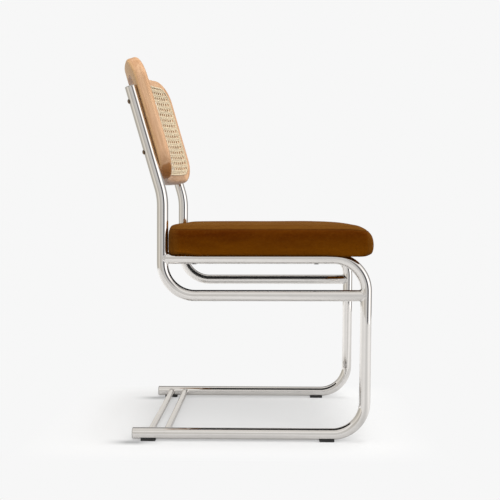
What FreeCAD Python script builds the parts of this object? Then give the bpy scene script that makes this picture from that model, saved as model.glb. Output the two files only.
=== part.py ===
# Cantilever dining chair: two bent-tube side frames, a padded seat and a bent wooden back with cane.
# Millimetres. +X is the chair's front, +Y its left side, +Z up; the floor is Z = 0 and the origin
# lies under the middle of the whole chair. Every place is worked out from the sizes below.
import FreeCAD
import Part
import Sketcher
import math
import os

V = FreeCAD.Vector
RIGHT = -1.0
LEFT = 1.0

# Driving sizes, one cell each. Names that end in share or shares are fractions of another size.
SIZES = {
    # Side frames
    "tube_diameter": 25.0,
    "tube_wall": 2.0,
    "track_width": 420.0,
    "seat_frame_depth": 449.2,
    "seat_rail_height": 407.5,
    "lower_rail_height": 325.0,
    "frame_lean": 0.42,
    "bend_radius": 72.0,
    "kink_height": 543.4,
    "kink_bend_radius": 150.0,
    "back_tilt": 16.0,
    "upright_above_kink": 249.0,
    "runner_rear_reach": 68.0,
    "weld_gap": 0.3,
    "fit_gap": 0.3,
    "cut_overrun": 5.0,
    # Crossbars between the floor runners
    "crossbar_diameter": 15.0,
    "crossbar_wall": 1.5,
    "rear_crossbar_setback": 36.0,
    "crossbar_spacing": 36.5,
    # End plugs
    "plug_cap_thickness": 2.0,
    "plug_edge_radius": 1.2,
    "plug_spigot_length": 14.0,
    # Glides
    "glide_height": 4.0,
    "glide_length": 33.0,
    "glide_width": 17.0,
    "glide_wrap": 3.0,
    "glide_edge_radius": 1.2,
    "glide_stem_diameter": 6.0,
    "glide_stem_length": 9.0,
    "rear_glide_setback": 33.5,
    "front_glide_setback": 86.0,
    # Wooden back frame
    "back_side_overhang": 10.0,
    "back_height": 280.0,
    "back_above_kink": 39.0,
    "back_thickness": 27.0,
    "back_bend_radius": 600.0,
    "back_corner_radius": 60.0,
    "back_edge_radius": 8.0,
    "member_width": 34.0,
    "cane_border": 20.0,
    "spline_width": 4.5,
    "spline_depth": 5.0,
    "spline_proud": 0.8,
    "cane_recess": 1.4,
    "cane_thickness": 1.0,
    "cane_pitch": 17.6,
    "cane_gap_share": 0.62,
    "dowel_diameter": 8.0,
    "dowel_length": 30.0,
    "dowel_spacing": 14.0,
    # Screws and inserts of the back
    "lower_screw_above_kink": 104.0,
    "back_screw_spacing": 115.0,
    "back_screw_diameter": 5.0,
    "back_screw_head_diameter": 10.5,
    "back_screw_head_height": 2.6,
    "back_insert_diameter": 8.0,
    "back_insert_length": 13.0,
    # Seat cushion
    "seat_side_overhang": 10.0,
    "seat_front_overhang": 16.1,
    "seat_crown_height": 485.0,
    "seat_lip_drop": 6.5,
    "seat_lip_front_length": 37.0,
    "seat_front_corner_radius": 18.0,
    "seat_rear_corner_radius": 27.0,
    "seat_rear_gap": 0.5,
    "cover_thickness": 1.6,
    "cover_turn_under": 45.0,
    # Seat board and what fastens it
    "board_thickness": 12.0,
    "board_side_inset": 16.0,
    "board_end_inset": 24.0,
    "board_corner_radius": 22.0,
    "dust_cover_thickness": 0.8,
    "dust_cover_overlap": 18.0,
    "seat_screw_diameter": 5.0,
    "seat_screw_head_diameter": 11.0,
    "seat_screw_head_height": 2.2,
    "front_seat_screw_setback": 110.0,
    "rear_seat_screw_setback": 70.0,
    "tee_nut_flange_diameter": 18.0,
    "tee_nut_flange_thickness": 1.4,
    "tee_nut_barrel_diameter": 8.0,
    "tee_nut_barrel_length": 8.0,
}

doc = FreeCAD.newDocument("cantilever_chair")
sheet = doc.addObject("Spreadsheet::Sheet", "sizes")
for row, (alias, value) in enumerate(SIZES.items(), start=1):
    sheet.set("A%d" % row, alias.replace("_", " "))
    sheet.set("B%d" % row, str(value))
    sheet.setAlias("B%d" % row, alias)
doc.recompute()


def size(alias):
    """The number held by one cell of the sheet."""
    return float(sheet.get(alias))


# Sizes worked out from the sheet
tube_radius = size("tube_diameter") / 2
bore_radius = tube_radius - size("tube_wall")
half_track = size("track_width") / 2
half_seat = half_track + tube_radius + size("seat_side_overhang")
half_seat_expression = "((sizes.track_width + sizes.tube_diameter) / 2 + sizes.seat_side_overhang)"
half_back = half_track + size("back_side_overhang")
half_back_expression = "(sizes.track_width / 2 + sizes.back_side_overhang)"
runner_height = size("glide_height") + tube_radius
lean = math.tan(math.radians(size("frame_lean")))
tilt = math.radians(size("back_tilt"))
rail_top = size("seat_rail_height") + tube_radius
back_low = size("back_above_kink")
back_high = back_low + size("back_height")
# The bent back touches both uprights, so its centre of bend lies this far before their axes
bend_centre = math.sqrt((size("back_bend_radius") + tube_radius + size("fit_gap")) ** 2 - half_track ** 2)
front_bend_radius = size("back_bend_radius") - size("back_thickness")
front_radius_expression = "(sizes.back_bend_radius - sizes.back_thickness)"
contact_angle = math.asin(half_track / (size("back_bend_radius") + tube_radius + size("fit_gap")))

# Where the upright's axis passes the seat rail, counted back from the middle of the whole chair
kink_shift = lean * (size("kink_height") - size("seat_rail_height"))
rear_face = bend_centre - size("back_bend_radius")
rear_edge = size("back_edge_radius")
rear_reach = ((back_high - rear_edge) * math.sin(tilt) - (rear_face + rear_edge) * math.cos(tilt)
              + rear_edge - kink_shift)
front_reach = size("seat_frame_depth") + size("seat_front_overhang")
upright_x = (rear_reach - front_reach) / 2
leg_x = upright_x + size("seat_frame_depth")
seat_front = leg_x + size("seat_front_overhang")
kink_x = upright_x + kink_shift
runner_rear = upright_x - size("runner_rear_reach")


def upright_axis(height):
    """X of the upright's axis at a height below the kink."""
    return upright_x + lean * (height - size("seat_rail_height"))


def leg_axis(height):
    """X of the front leg's axis at a height."""
    return leg_x + lean * (height - size("seat_rail_height"))


# Helpers
def origin_plane(body, role):
    """One of a body's own origin planes."""
    for feature in body.Origin.OriginFeatures:
        if feature.Role == role:
            return feature
    raise ValueError(role)


def new_body(label):
    body = doc.addObject("PartDesign::Body", label)
    body.Label = label
    return body


def new_sketch(body, name, role, offset=0.0, offset_expression=""):
    """A sketch on an origin plane, moved along the plane's normal."""
    sketch = body.newObject("Sketcher::SketchObject", name)
    sketch.AttachmentSupport = [(origin_plane(body, role), "")]
    sketch.MapMode = "FlatFace"
    sketch.AttachmentOffset = FreeCAD.Placement(V(0, 0, offset), FreeCAD.Rotation())
    if offset_expression:
        sketch.setExpression("AttachmentOffset.Base.z", offset_expression)
    return sketch


def add_circle(sketch, name, centre, radius, expression):
    """A circle whose diameter follows the sheet."""
    index = sketch.addGeometry(Part.Circle(centre, V(0, 0, 1), radius))
    constraint = sketch.addConstraint(Sketcher.Constraint("Diameter", index, 2 * radius))
    sketch.renameConstraint(constraint, name)
    sketch.setExpression("Constraints." + name, expression)
    return index


def corner_arc(before, corner, after, radius):
    """Start, middle and end of the arc that rounds a corner of a flat route."""
    to_before = (before - corner).normalize()
    to_after = (after - corner).normalize()
    half_angle = to_before.getAngle(to_after) / 2
    bisector = (to_before + to_after).normalize()
    centre = corner + bisector * (radius / math.sin(half_angle))
    reach = radius / math.tan(half_angle)
    return corner + to_before * reach, centre - bisector * radius, corner + to_after * reach


def add_route(sketch, corners, radii, radius_names):
    """Straight runs joined by tangent arcs; each arc's radius follows the sheet."""
    start = corners[0]
    last = None
    for place, radius in enumerate(radii, start=1):
        corner = corners[place]
        arc_start, arc_middle, arc_end = corner_arc(corners[place - 1], corner, corners[place + 1], radius)
        run = sketch.addGeometry(Part.LineSegment(start, arc_start))
        arc = sketch.addGeometry(Part.Arc(arc_start, arc_middle, arc_end))
        if last is not None:
            join_ends(sketch, last, run)
        join_ends(sketch, run, arc)
        bend = sketch.addConstraint(Sketcher.Constraint("Radius", arc, radius))
        sketch.renameConstraint(bend, "bend_%d" % place)
        sketch.setExpression("Constraints.bend_%d" % place, "sizes." + radius_names[place - 1])
        start = arc_end
        last = arc
    run = sketch.addGeometry(Part.LineSegment(start, corners[-1]))
    if last is not None:
        join_ends(sketch, last, run)


def join_ends(sketch, first, second):
    """Make the nearest ends of two sketch pieces coincide."""
    ends = [(a, b) for a in (1, 2) for b in (1, 2)]
    ends.sort(key=lambda pair: (sketch.getPoint(first, pair[0]) - sketch.getPoint(second, pair[1])).Length)
    sketch.addConstraint(Sketcher.Constraint("Coincident", first, ends[0][0], second, ends[0][1]))


def drill(body, name, radius, radius_expression, start, direction, length):
    """Cut a round hole of a given length from a start point."""
    hole = body.newObject("PartDesign::SubtractiveCylinder", name)
    hole.Radius = radius
    hole.setExpression("Radius", radius_expression)
    hole.Height = length
    hole.Placement = FreeCAD.Placement(start, FreeCAD.Rotation(V(0, 0, 1), direction))
    return hole


def peg(body, name, radius, radius_expression, start, direction, length):
    """Add a round peg of a given length from a start point."""
    post = body.newObject("PartDesign::AdditiveCylinder", name)
    post.Radius = radius
    post.setExpression("Radius", radius_expression)
    post.Height = length
    post.Placement = FreeCAD.Placement(start, FreeCAD.Rotation(V(0, 0, 1), direction))
    return post


def bent_tube(label, side, corners, radii, radius_names):
    """A hollow tube along a flat route; the route starts with a level run."""
    body = new_body(label)
    body.Placement.Base = V(0, side * half_track, 0)
    sign = "-" if side < 0 else ""
    body.setExpression("Placement.Base.y", sign + "sizes.track_width / 2")
    route = new_sketch(body, label + "_route", "XZ_Plane")
    add_route(route, [V(x, z, 0) for x, z in corners], radii, radius_names)
    ring = new_sketch(body, label + "_ring", "YZ_Plane", corners[0][0])
    centre = V(0, corners[0][1], 0)
    add_circle(ring, "outside", centre, tube_radius, "sizes.tube_diameter")
    add_circle(ring, "bore", centre, bore_radius, "sizes.tube_diameter - 2 * sizes.tube_wall")
    doc.recompute()
    pipe = body.newObject("PartDesign::AdditivePipe", label + "_pipe")
    pipe.Profile = ring
    pipe.Spine = (route, ["Edge%d" % (n + 1) for n in range(len(route.Shape.Edges))])
    body.Tip = pipe
    doc.recompute()
    return body


# Side frames
lean_axis = V(lean, 0, 1).normalize()
back_axis = V(-math.sin(tilt), 0, math.cos(tilt))
upright_top = back_axis * size("upright_above_kink")
back_front = V(math.cos(tilt), 0, math.sin(tilt))
kink_point = V(kink_x, 0, size("kink_height"))
upper_screw = size("lower_screw_above_kink") + size("back_screw_spacing")
back_screw_places = [size("lower_screw_above_kink"), upper_screw]
seat_screw_places = [upright_x + size("rear_seat_screw_setback"), leg_x - size("front_seat_screw_setback")]
glide_places = [("rear", runner_rear + size("rear_glide_setback")),
                ("front", leg_x - size("front_glide_setback"))]
cope_radius = tube_radius + size("weld_gap")
cope_expression = "sizes.tube_diameter / 2 + sizes.weld_gap"
nodes = []


def screw_direction(side):
    """Level direction from an upright into the back, square to the bent back where it touches."""
    inward = V(0, -side * math.sin(contact_angle), 0)
    return back_front * math.cos(contact_angle) + inward


def upright_tube(label, side):
    """Lower seat rail, bend, upright and backward kink in one tube."""
    rail = size("lower_rail_height")
    corners = [(leg_axis(rail), rail),
               (upright_axis(rail), rail),
               (kink_x, size("kink_height")),
               (kink_x + upright_top.x, size("kink_height") + upright_top.z)]
    body = bent_tube(label, side, corners, [size("bend_radius"), size("kink_bend_radius")],
                     ["bend_radius", "kink_bend_radius"])
    reach = size("tube_diameter")
    start = V(leg_axis(rail - reach), 0, rail - reach)
    drill(body, label + "_cope", cope_radius, cope_expression, start, lean_axis, 2 * reach)
    for number, place in enumerate(back_screw_places):
        direction = screw_direction(side)
        start = kink_point + back_axis * place - direction * size("tube_diameter")
        drill(body, label + "_screw_hole_%d" % number, size("back_screw_diameter") / 2 + size("fit_gap"),
              "sizes.back_screw_diameter / 2 + sizes.fit_gap", start, direction, 2 * size("tube_diameter"))
    return body


def seat_leg_tube(label, side):
    """Floor runner, front leg and upper seat rail in one tube."""
    rail = size("seat_rail_height")
    corners = [(runner_rear, runner_height),
               (leg_axis(runner_height), runner_height),
               (leg_axis(rail), rail),
               (upright_axis(rail), rail)]
    body = bent_tube(label, side, corners, [size("bend_radius"), size("bend_radius")],
                     ["bend_radius", "bend_radius"])
    reach = size("tube_diameter")
    start = V(upright_axis(rail - reach), 0, rail - reach)
    drill(body, label + "_cope", cope_radius, cope_expression, start, lean_axis, 2 * reach)
    for number, place in enumerate(seat_screw_places):
        start = V(place, 0, rail - reach)
        drill(body, label + "_screw_hole_%d" % number, size("seat_screw_diameter") / 2 + size("fit_gap"),
              "sizes.seat_screw_diameter / 2 + sizes.fit_gap", start, V(0, 0, 1), 2 * reach)
    for end, place in glide_places:
        drill(body, label + "_%s_stem_hole" % end, size("glide_stem_diameter") / 2 + size("fit_gap"),
              "sizes.glide_stem_diameter / 2 + sizes.fit_gap", V(place, 0, 0), V(0, 0, 1), runner_height)
    return body


def crossbar(label, place):
    """A thin tube between the runners, coped to them at both ends."""
    body = new_body(label)
    ring = new_sketch(body, label + "_ring", "XZ_Plane", -half_track, "-sizes.track_width / 2")
    centre = V(place, runner_height, 0)
    add_circle(ring, "outside", centre, size("crossbar_diameter") / 2, "sizes.crossbar_diameter")
    bore = size("crossbar_diameter") / 2 - size("crossbar_wall")
    add_circle(ring, "bore", centre, bore, "sizes.crossbar_diameter - 2 * sizes.crossbar_wall")
    pad = body.newObject("PartDesign::Pad", label + "_pad")
    pad.Profile = ring
    pad.Length = size("track_width")
    pad.setExpression("Length", "sizes.track_width")
    reach = size("crossbar_diameter")
    for name, side in (("right", RIGHT), ("left", LEFT)):
        start = V(place - reach, side * half_track, runner_height)
        drill(body, label + "_%s_cope" % name, cope_radius, cope_expression, start, V(1, 0, 0), 2 * reach)
    doc.recompute()
    return body


def headed_peg(label, head, shank):
    """A round head above Z = 0 and a shank below it.

    head: radius, its expression, length, softening of the rim; shank: radius, its expression, length."""
    body = new_body(label)
    cap = peg(body, label + "_head", head[0], head[1], V(0, 0, 0), V(0, 0, 1), head[2])
    doc.recompute()
    rim = body.newObject("PartDesign::Fillet", label + "_rim")
    rim.Base = (cap, [top_rim(cap.Shape, head[2])])
    rim.Radius = head[3]
    peg(body, label + "_shank", shank[0], shank[1], V(0, 0, 0), V(0, 0, -1), shank[2])
    doc.recompute()
    return body


def top_rim(shape, height):
    """Name of the round edge at a height."""
    for number, edge in enumerate(shape.Edges, start=1):
        if isinstance(edge.Curve, Part.Circle):
            if math.isclose(edge.Curve.Center.z, height, abs_tol=Part.Precision.confusion()):
                return "Edge%d" % number
    raise ValueError("no rim")


def facing(tip, outward):
    """Placement that turns a piece's +Z to a direction and moves its origin to a point."""
    return FreeCAD.Placement(tip, FreeCAD.Rotation(V(0, 0, 1), outward))


def end_plug(label, tip, outward):
    """A cap with a spigot that fills an open tube end."""
    cap = [tube_radius, "sizes.tube_diameter / 2", size("plug_cap_thickness"), size("plug_edge_radius")]
    spigot = [bore_radius - size("fit_gap"), "sizes.tube_diameter / 2 - sizes.tube_wall - sizes.fit_gap",
              size("plug_spigot_length")]
    body = headed_peg(label, cap, spigot)
    body.Placement = facing(tip, outward)
    return body


def glide(label, side, place):
    """A saddle under the runner with a stem that enters the tube."""
    body = new_body(label)
    block = body.newObject("PartDesign::AdditiveBox", label + "_block")
    block.Length = size("glide_length")
    block.setExpression("Length", "sizes.glide_length")
    block.Width = size("glide_width")
    block.setExpression("Width", "sizes.glide_width")
    block.Height = size("glide_height") + size("glide_wrap")
    block.setExpression("Height", "sizes.glide_height + sizes.glide_wrap")
    block.Placement.Base = V(-size("glide_length") / 2, -size("glide_width") / 2, 0)
    doc.recompute()
    rounded = body.newObject("PartDesign::Fillet", label + "_rounding")
    rounded.Base = (block, edges_below(block.Shape, size("glide_height") + size("glide_wrap")))
    rounded.Radius = size("glide_edge_radius")
    rounded.setExpression("Radius", "sizes.glide_edge_radius")
    doc.recompute()
    drill(body, label + "_saddle", tube_radius + size("fit_gap"), "sizes.tube_diameter / 2 + sizes.fit_gap",
          V(-size("glide_length"), 0, runner_height), V(1, 0, 0), 2 * size("glide_length"))
    stem = size("glide_height") / 2
    peg(body, label + "_stem", size("glide_stem_diameter") / 2, "sizes.glide_stem_diameter / 2",
        V(0, 0, stem), V(0, 0, 1), stem + size("glide_stem_length"))
    doc.recompute()
    body.Placement.Base = V(place, side * half_track, 0)
    return body


def edges_below(shape, top):
    """Names of the edges of a block that don't lie in its top face."""
    names = []
    for number, edge in enumerate(shape.Edges, start=1):
        if edge.CenterOfMass.z < top - Part.Precision.confusion():
            names.append("Edge%d" % number)
    return names


# Rounded rectangles
def rounded_rectangle(sketch, low, high, radii, expressions):
    """Four lines and four tangent arcs; radii holds that of the two left and of the two right corners.

    expressions give left, bottom, right, top, left radius and right radius; an empty one is skipped."""
    signs = [(1, -1), (1, 1), (-1, 1), (-1, -1)]
    centres = []
    arcs = []
    for place, (across, up) in enumerate(signs):
        radius = radii[1] if across > 0 else radii[0]
        x = high[0] - radius if across > 0 else low[0] + radius
        y = high[1] - radius if up > 0 else low[1] + radius
        centres.append((V(x, y, 0), radius))
        start_angle = (place - 1) * math.pi / 2
        circle = Part.Circle(V(x, y, 0), V(0, 0, 1), radius)
        arcs.append(sketch.addGeometry(Part.ArcOfCircle(circle, start_angle, start_angle + math.pi / 2)))
    lines = []
    for place, (centre, radius) in enumerate(centres):
        after = (place + 1) % len(signs)
        following, next_radius = centres[after]
        outward = V(*signs[place]) + V(*signs[after])
        outward = V(outward.x / 2, outward.y / 2, 0)
        run = Part.LineSegment(centre + outward * radius, following + outward * next_radius)
        lines.append(sketch.addGeometry(run))
    constraints = []
    for place, arc in enumerate(arcs):
        constraints.append(Sketcher.Constraint("Tangent", arc, 2, lines[place], 1))
        following = arcs[(place + 1) % len(arcs)]
        constraints.append(Sketcher.Constraint("Tangent", lines[place], 2, following, 1))
    right, top, left, bottom = lines
    constraints += [Sketcher.Constraint("Vertical", right), Sketcher.Constraint("Horizontal", top),
                    Sketcher.Constraint("Vertical", left), Sketcher.Constraint("Horizontal", bottom),
                    Sketcher.Constraint("Equal", arcs[0], arcs[1]),
                    Sketcher.Constraint("Equal", arcs[2], arcs[3])]
    sketch.addConstraint(constraints)
    named = [("left", Sketcher.Constraint("DistanceX", -1, 1, left, 1, low[0])),
             ("bottom", Sketcher.Constraint("DistanceY", -1, 1, bottom, 1, low[1])),
             ("right", Sketcher.Constraint("DistanceX", -1, 1, right, 1, high[0])),
             ("top", Sketcher.Constraint("DistanceY", -1, 1, top, 1, high[1])),
             ("left_corner", Sketcher.Constraint("Radius", arcs[2], radii[0])),
             ("right_corner", Sketcher.Constraint("Radius", arcs[0], radii[1]))]
    for (name, constraint), expression in zip(named, expressions):
        index = sketch.addConstraint(constraint)
        sketch.renameConstraint(index, name)
        if expression:
            sketch.setExpression("Constraints." + name, expression)


# Back: everything here is drawn upright, with X = 0 at the uprights' axes and Z along them,
# and then leaned back about the kink
back_placement = FreeCAD.Placement(kink_point, FreeCAD.Rotation(V(0, 1, 0), -size("back_tilt")))
bend_centre_expression = ("sqrt((sizes.back_bend_radius + sizes.tube_diameter / 2 + sizes.fit_gap)^2"
                          " - (sizes.track_width / 2)^2)")


def back_prism(name, inset, inset_expression):
    """The back's rounded outline, drawn in by an inset, as a deep block across the bent back."""
    sketch = doc.addObject("Sketcher::SketchObject", name + "_outline")
    sketch.Placement = FreeCAD.Placement(V(rear_face - size("back_thickness"), 0, 0),
                                         FreeCAD.Rotation(V(0, 1, 0), V(0, 0, 1), V(1, 0, 0), "XYZ"))
    half = half_back - inset
    low = back_low + inset
    high = back_high - inset
    radius = size("back_corner_radius") - inset
    corner_expression = "sizes.back_corner_radius - (%s)" % inset_expression
    rounded_rectangle(sketch, (-half, low), (half, high), (radius, radius),
                      ["-(%s - (%s))" % (half_back_expression, inset_expression),
                       "sizes.back_above_kink + (%s)" % inset_expression,
                       "%s - (%s)" % (half_back_expression, inset_expression),
                       "sizes.back_above_kink + sizes.back_height - (%s)" % inset_expression,
                       corner_expression, corner_expression])
    prism = doc.addObject("Part::Extrusion", name + "_prism")
    prism.Base = sketch
    prism.DirMode = "Custom"
    prism.Dir = V(1, 0, 0)
    prism.LengthFwd = front_of_ends() - rear_face + 2 * size("back_thickness")
    prism.Solid = True
    return prism


def front_of_ends():
    """X of the back's front face at its two ends."""
    return bend_centre - math.sqrt(front_bend_radius ** 2 - half_back ** 2)


def bend_cylinder(name, radius, radius_expression):
    """A round column about the back's centre of bend."""
    column = doc.addObject("Part::Cylinder", name)
    column.Radius = radius
    column.setExpression("Radius", radius_expression)
    column.Height = size("back_height") + 2 * size("cut_overrun")
    column.setExpression("Height", "sizes.back_height + 2 * sizes.cut_overrun")
    column.Placement.Base = V(bend_centre, 0, back_low - size("cut_overrun"))
    column.setExpression("Placement.Base.x", bend_centre_expression)
    column.setExpression("Placement.Base.z", "sizes.back_above_kink - sizes.cut_overrun")
    return column


def combine(kind, name, base, tool):
    """A boolean of two objects: Cut, Common or Fuse."""
    result = doc.addObject("Part::" + kind, name)
    result.Base = base
    result.Tool = tool
    return result


def bent_layer(name, inner, inner_expression, outer, outer_expression):
    """A curved wall between two radii about the back's centre of bend."""
    outside = bend_cylinder(name + "_outer", outer, outer_expression)
    inside = bend_cylinder(name + "_inner", inner, inner_expression)
    return combine("Cut", name, outside, inside)


def back_frame_ring():
    """The whole wooden ring before it is divided: bent, rounded, with its window, groove and rebate."""
    wall = bent_layer("back_wall", front_bend_radius, front_radius_expression,
                      size("back_bend_radius"), "sizes.back_bend_radius")
    blank = combine("Common", "back_blank", back_prism("back_outside", 0.0, "0"), wall)
    doc.recompute()
    rounded = doc.addObject("Part::Fillet", "back_rounded")
    rounded.Base = blank
    rounded.Edges = [(number, size("back_edge_radius"), size("back_edge_radius"))
                     for number, edge in enumerate(blank.Shape.Edges, start=1) if runs_round_face(edge)]
    window = back_prism("back_window", size("member_width"), "sizes.member_width")
    ring = combine("Cut", "back_ring", rounded, window)
    groove_out = back_prism("groove_outside", size("cane_border"), "sizes.cane_border")
    groove_in = back_prism("groove_inside", size("cane_border") + size("spline_width"),
                           "sizes.cane_border + sizes.spline_width")
    before = front_bend_radius - size("cut_overrun")
    before_expression = front_radius_expression + " - sizes.cut_overrun"
    groove_wall = bent_layer("groove_wall", before, before_expression,
                             front_bend_radius + size("spline_depth"),
                             front_radius_expression + " + sizes.spline_depth")
    groove = combine("Common", "groove", combine("Cut", "groove_band", groove_out, groove_in), groove_wall)
    rebate_wall = bent_layer("rebate_wall", before, before_expression,
                             front_bend_radius + size("cane_recess"),
                             front_radius_expression + " + sizes.cane_recess")
    rebate_block = back_prism("rebate", size("cane_border") + size("spline_width"),
                              "sizes.cane_border + sizes.spline_width")
    rebate = combine("Common", "rebate", rebate_block, rebate_wall)
    grooved = combine("Cut", "back_ring_grooved", ring, groove)
    return combine("Cut", "back_ring_rebated", grooved, rebate)


def runs_round_face(edge):
    """True for the edges between a curved face and the outline, not those across the thickness."""
    ends = edge.Vertexes
    across = abs(radius_at(ends[0].Point) - radius_at(ends[-1].Point))
    return across < size("back_thickness") / 2


def radius_at(point):
    """Distance of a point from the back's axis of bend."""
    return math.hypot(point.x - bend_centre, point.y)


def divider(name, low, high):
    """A plain block between two opposite corners, to cut with."""
    box = doc.addObject("Part::Box", name)
    box.Length = high.x - low.x
    box.Width = high.y - low.y
    box.Height = high.z - low.z
    box.Placement.Base = low
    return box


def leaned(label, piece):
    """Name a finished piece of the back and lean it into place."""
    piece.Label = label
    piece.Placement = back_placement
    return piece


joint_y = half_back - size("back_corner_radius")
member_middle_radius = size("back_bend_radius") - size("back_thickness") / 2


def joint_pins(diameter, length):
    """Two pins across each butt joint, along the bend there, as one compound."""
    x = bend_centre - math.sqrt(member_middle_radius ** 2 - joint_y ** 2)
    middles = [back_low + size("member_width") / 2, back_high - size("member_width") / 2]
    step = size("dowel_spacing") / 2
    pins = []
    for side in (RIGHT, LEFT):
        along = V(side * joint_y, bend_centre - x, 0).normalize()
        for middle in middles:
            for height in (middle - step, middle + step):
                start = V(x, side * joint_y, height) - along * (length / 2)
                pins.append(Part.makeCylinder(diameter / 2, length, start, along))
    return Part.makeCompound(pins)


def insert_mouths():
    """Where each screw enters the back's rear face, and its direction into the wood."""
    places = []
    for side in (RIGHT, LEFT):
        inward = V(math.cos(contact_angle), -side * math.sin(contact_angle), 0)
        for height in back_screw_places:
            axis = V(0, side * half_track, height)
            places.append((axis + inward * (tube_radius + size("fit_gap")), inward))
    return places


def shape_feature(label, shape):
    """A finished piece that holds a ready shape."""
    feature = doc.addObject("Part::Feature", label)
    feature.Label = label
    feature.Shape = shape
    return feature


def copies(body, placements):
    """The same solid at several places, as one compound."""
    pieces = []
    for placement in placements:
        solid = body.Shape.Solids[0].copy()
        solid.Placement = placement
        pieces.append(solid)
    return Part.makeCompound(pieces)


def back_pieces():
    """Four members, dowels, inserts, screws, cane and spline."""
    ring = back_frame_ring()
    dowel_holes = shape_feature("dowel_holes", joint_pins(size("dowel_diameter") + 2 * size("fit_gap"),
                                                         size("dowel_length") + 2 * size("fit_gap")))
    hole_radius = size("back_insert_diameter") / 2 + size("fit_gap")
    hole_depth = size("back_insert_length") + size("fit_gap") + size("cut_overrun")
    insert_holes = [Part.makeCylinder(hole_radius, hole_depth, mouth - inward * size("cut_overrun"), inward)
                    for mouth, inward in insert_mouths()]
    holes = combine("Cut", "back_ring_holed", combine("Cut", "back_ring_dowelled", ring, dowel_holes),
                    shape_feature("insert_holes", Part.makeCompound(insert_holes)))
    near = rear_face - size("cut_overrun")
    far = rear_face + size("back_bend_radius")
    middle = (back_low + back_high) / 2
    low = back_low - size("cut_overrun")
    high = back_high + size("cut_overrun")
    edge = half_back + size("cut_overrun")
    regions = [("back_top_rail", V(near, -joint_y, middle), V(far, joint_y, high)),
               ("back_bottom_rail", V(near, -joint_y, low), V(far, joint_y, middle)),
               ("back_right_stile", V(near, -edge, low), V(far, -joint_y, high)),
               ("back_left_stile", V(near, joint_y, low), V(far, edge, high))]
    for label, lowest, highest in regions:
        region = divider(label + "_region", lowest, highest)
        nodes.append(leaned(label, combine("Common", label, holes, region)))
    dowels = shape_feature("back_frame_dowels", joint_pins(size("dowel_diameter"), size("dowel_length")))
    nodes.append(leaned("back_frame_dowels", dowels))
    nodes.append(leaned("cane_spline", spline_ring()))
    nodes.append(leaned("cane_webbing", cane_net()))
    nodes.append(leaned("back_inserts", insert_group()))
    nodes.append(leaned("back_screws", back_screw_group()))


def spline_ring():
    """The reed in the groove, a little proud of the wood."""
    inset = size("cane_border") + size("fit_gap")
    outside = back_prism("spline_outside", inset, "sizes.cane_border + sizes.fit_gap")
    inset = size("cane_border") + size("spline_width") - size("fit_gap")
    inside = back_prism("spline_inside", inset, "sizes.cane_border + sizes.spline_width - sizes.fit_gap")
    wall = bent_layer("spline_wall", front_bend_radius - size("spline_proud"),
                      front_radius_expression + " - sizes.spline_proud",
                      front_bend_radius + size("spline_depth") - size("fit_gap"),
                      front_radius_expression + " + sizes.spline_depth - sizes.fit_gap")
    return combine("Common", "cane_spline", combine("Cut", "spline_band", outside, inside), wall)


def cane_net():
    """Woven cane as one thin bent sheet with square gaps."""
    inset = size("cane_border") + size("spline_width") + size("fit_gap")
    outline = back_prism("cane_outline", inset, "sizes.cane_border + sizes.spline_width + sizes.fit_gap")
    doc.recompute()
    half_window = half_back - size("member_width")
    window_height = size("back_height") - 2 * size("member_width")
    pitch = size("cane_pitch")
    gap = pitch * size("cane_gap_share")
    columns = int(2 * half_window / pitch)
    rows = int(window_height / pitch)
    start_x = outline.Shape.BoundBox.XMin
    corner = size("back_corner_radius") - size("member_width")
    corner_middle = V(0, half_window - corner, window_height / 2 - corner)
    middle = (back_low + back_high) / 2
    wires = [Part.Wire(Part.__sortEdges__(outline.Base.Shape.Edges))]
    for column in range(columns):
        y = (column - (columns - 1) / 2) * pitch
        for row in range(rows):
            z = (row - (rows - 1) / 2) * pitch
            over_y = max(abs(y) + gap / 2 - corner_middle.y, 0)
            over_z = max(abs(z) + gap / 2 - corner_middle.z, 0)
            if math.hypot(over_y, over_z) < corner:
                low = V(start_x, y - gap / 2, middle + z - gap / 2)
                points = [low, low + V(0, gap, 0), low + V(0, gap, gap), low + V(0, 0, gap), low]
                wires.append(Part.makePolygon(points))
    sheet_face = shape_feature("cane_flat_face", Part.makeFace(wires, "Part::FaceMakerBullseye"))
    block = doc.addObject("Part::Extrusion", "cane_block")
    block.Base = sheet_face
    block.DirMode = "Custom"
    block.Dir = V(1, 0, 0)
    block.LengthFwd = outline.LengthFwd
    block.Solid = True
    outer = front_bend_radius + size("cane_recess") - size("fit_gap")
    outer_expression = front_radius_expression + " + sizes.cane_recess - sizes.fit_gap"
    wall = bent_layer("cane_wall", outer - size("cane_thickness"),
                      outer_expression + " - sizes.cane_thickness", outer, outer_expression)
    return combine("Common", "cane_webbing", block, wall)


def insert_group():
    """Four threaded sleeves in the stiles."""
    master = new_body("insert_master")
    length = size("back_insert_length")
    peg(master, "insert_sleeve", size("back_insert_diameter") / 2, "sizes.back_insert_diameter / 2",
        V(0, 0, 0), V(0, 0, 1), length)
    drill(master, "insert_bore", size("back_screw_diameter") / 2 + size("fit_gap") / 2,
          "sizes.back_screw_diameter / 2 + sizes.fit_gap / 2", V(0, 0, -length), V(0, 0, 1), 3 * length)
    doc.recompute()
    places = [facing(mouth, inward) for mouth, inward in insert_mouths()]
    return shape_feature("back_inserts", copies(master, places))


def back_screw_group():
    """Four domed screws through the uprights into the inserts."""
    head = size("back_screw_head_height")
    length = 2 * (tube_radius + size("fit_gap")) + size("back_insert_length") - size("fit_gap")
    master = headed_peg("back_screw_master",
                        [size("back_screw_head_diameter") / 2, "sizes.back_screw_head_diameter / 2", head,
                         head - size("fit_gap")],
                        [size("back_screw_diameter") / 2, "sizes.back_screw_diameter / 2", length])
    reach = 2 * (tube_radius + size("fit_gap"))
    places = [facing(mouth - inward * reach, inward * -1) for mouth, inward in insert_mouths()]
    return shape_feature("back_screws", copies(master, places))


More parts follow.
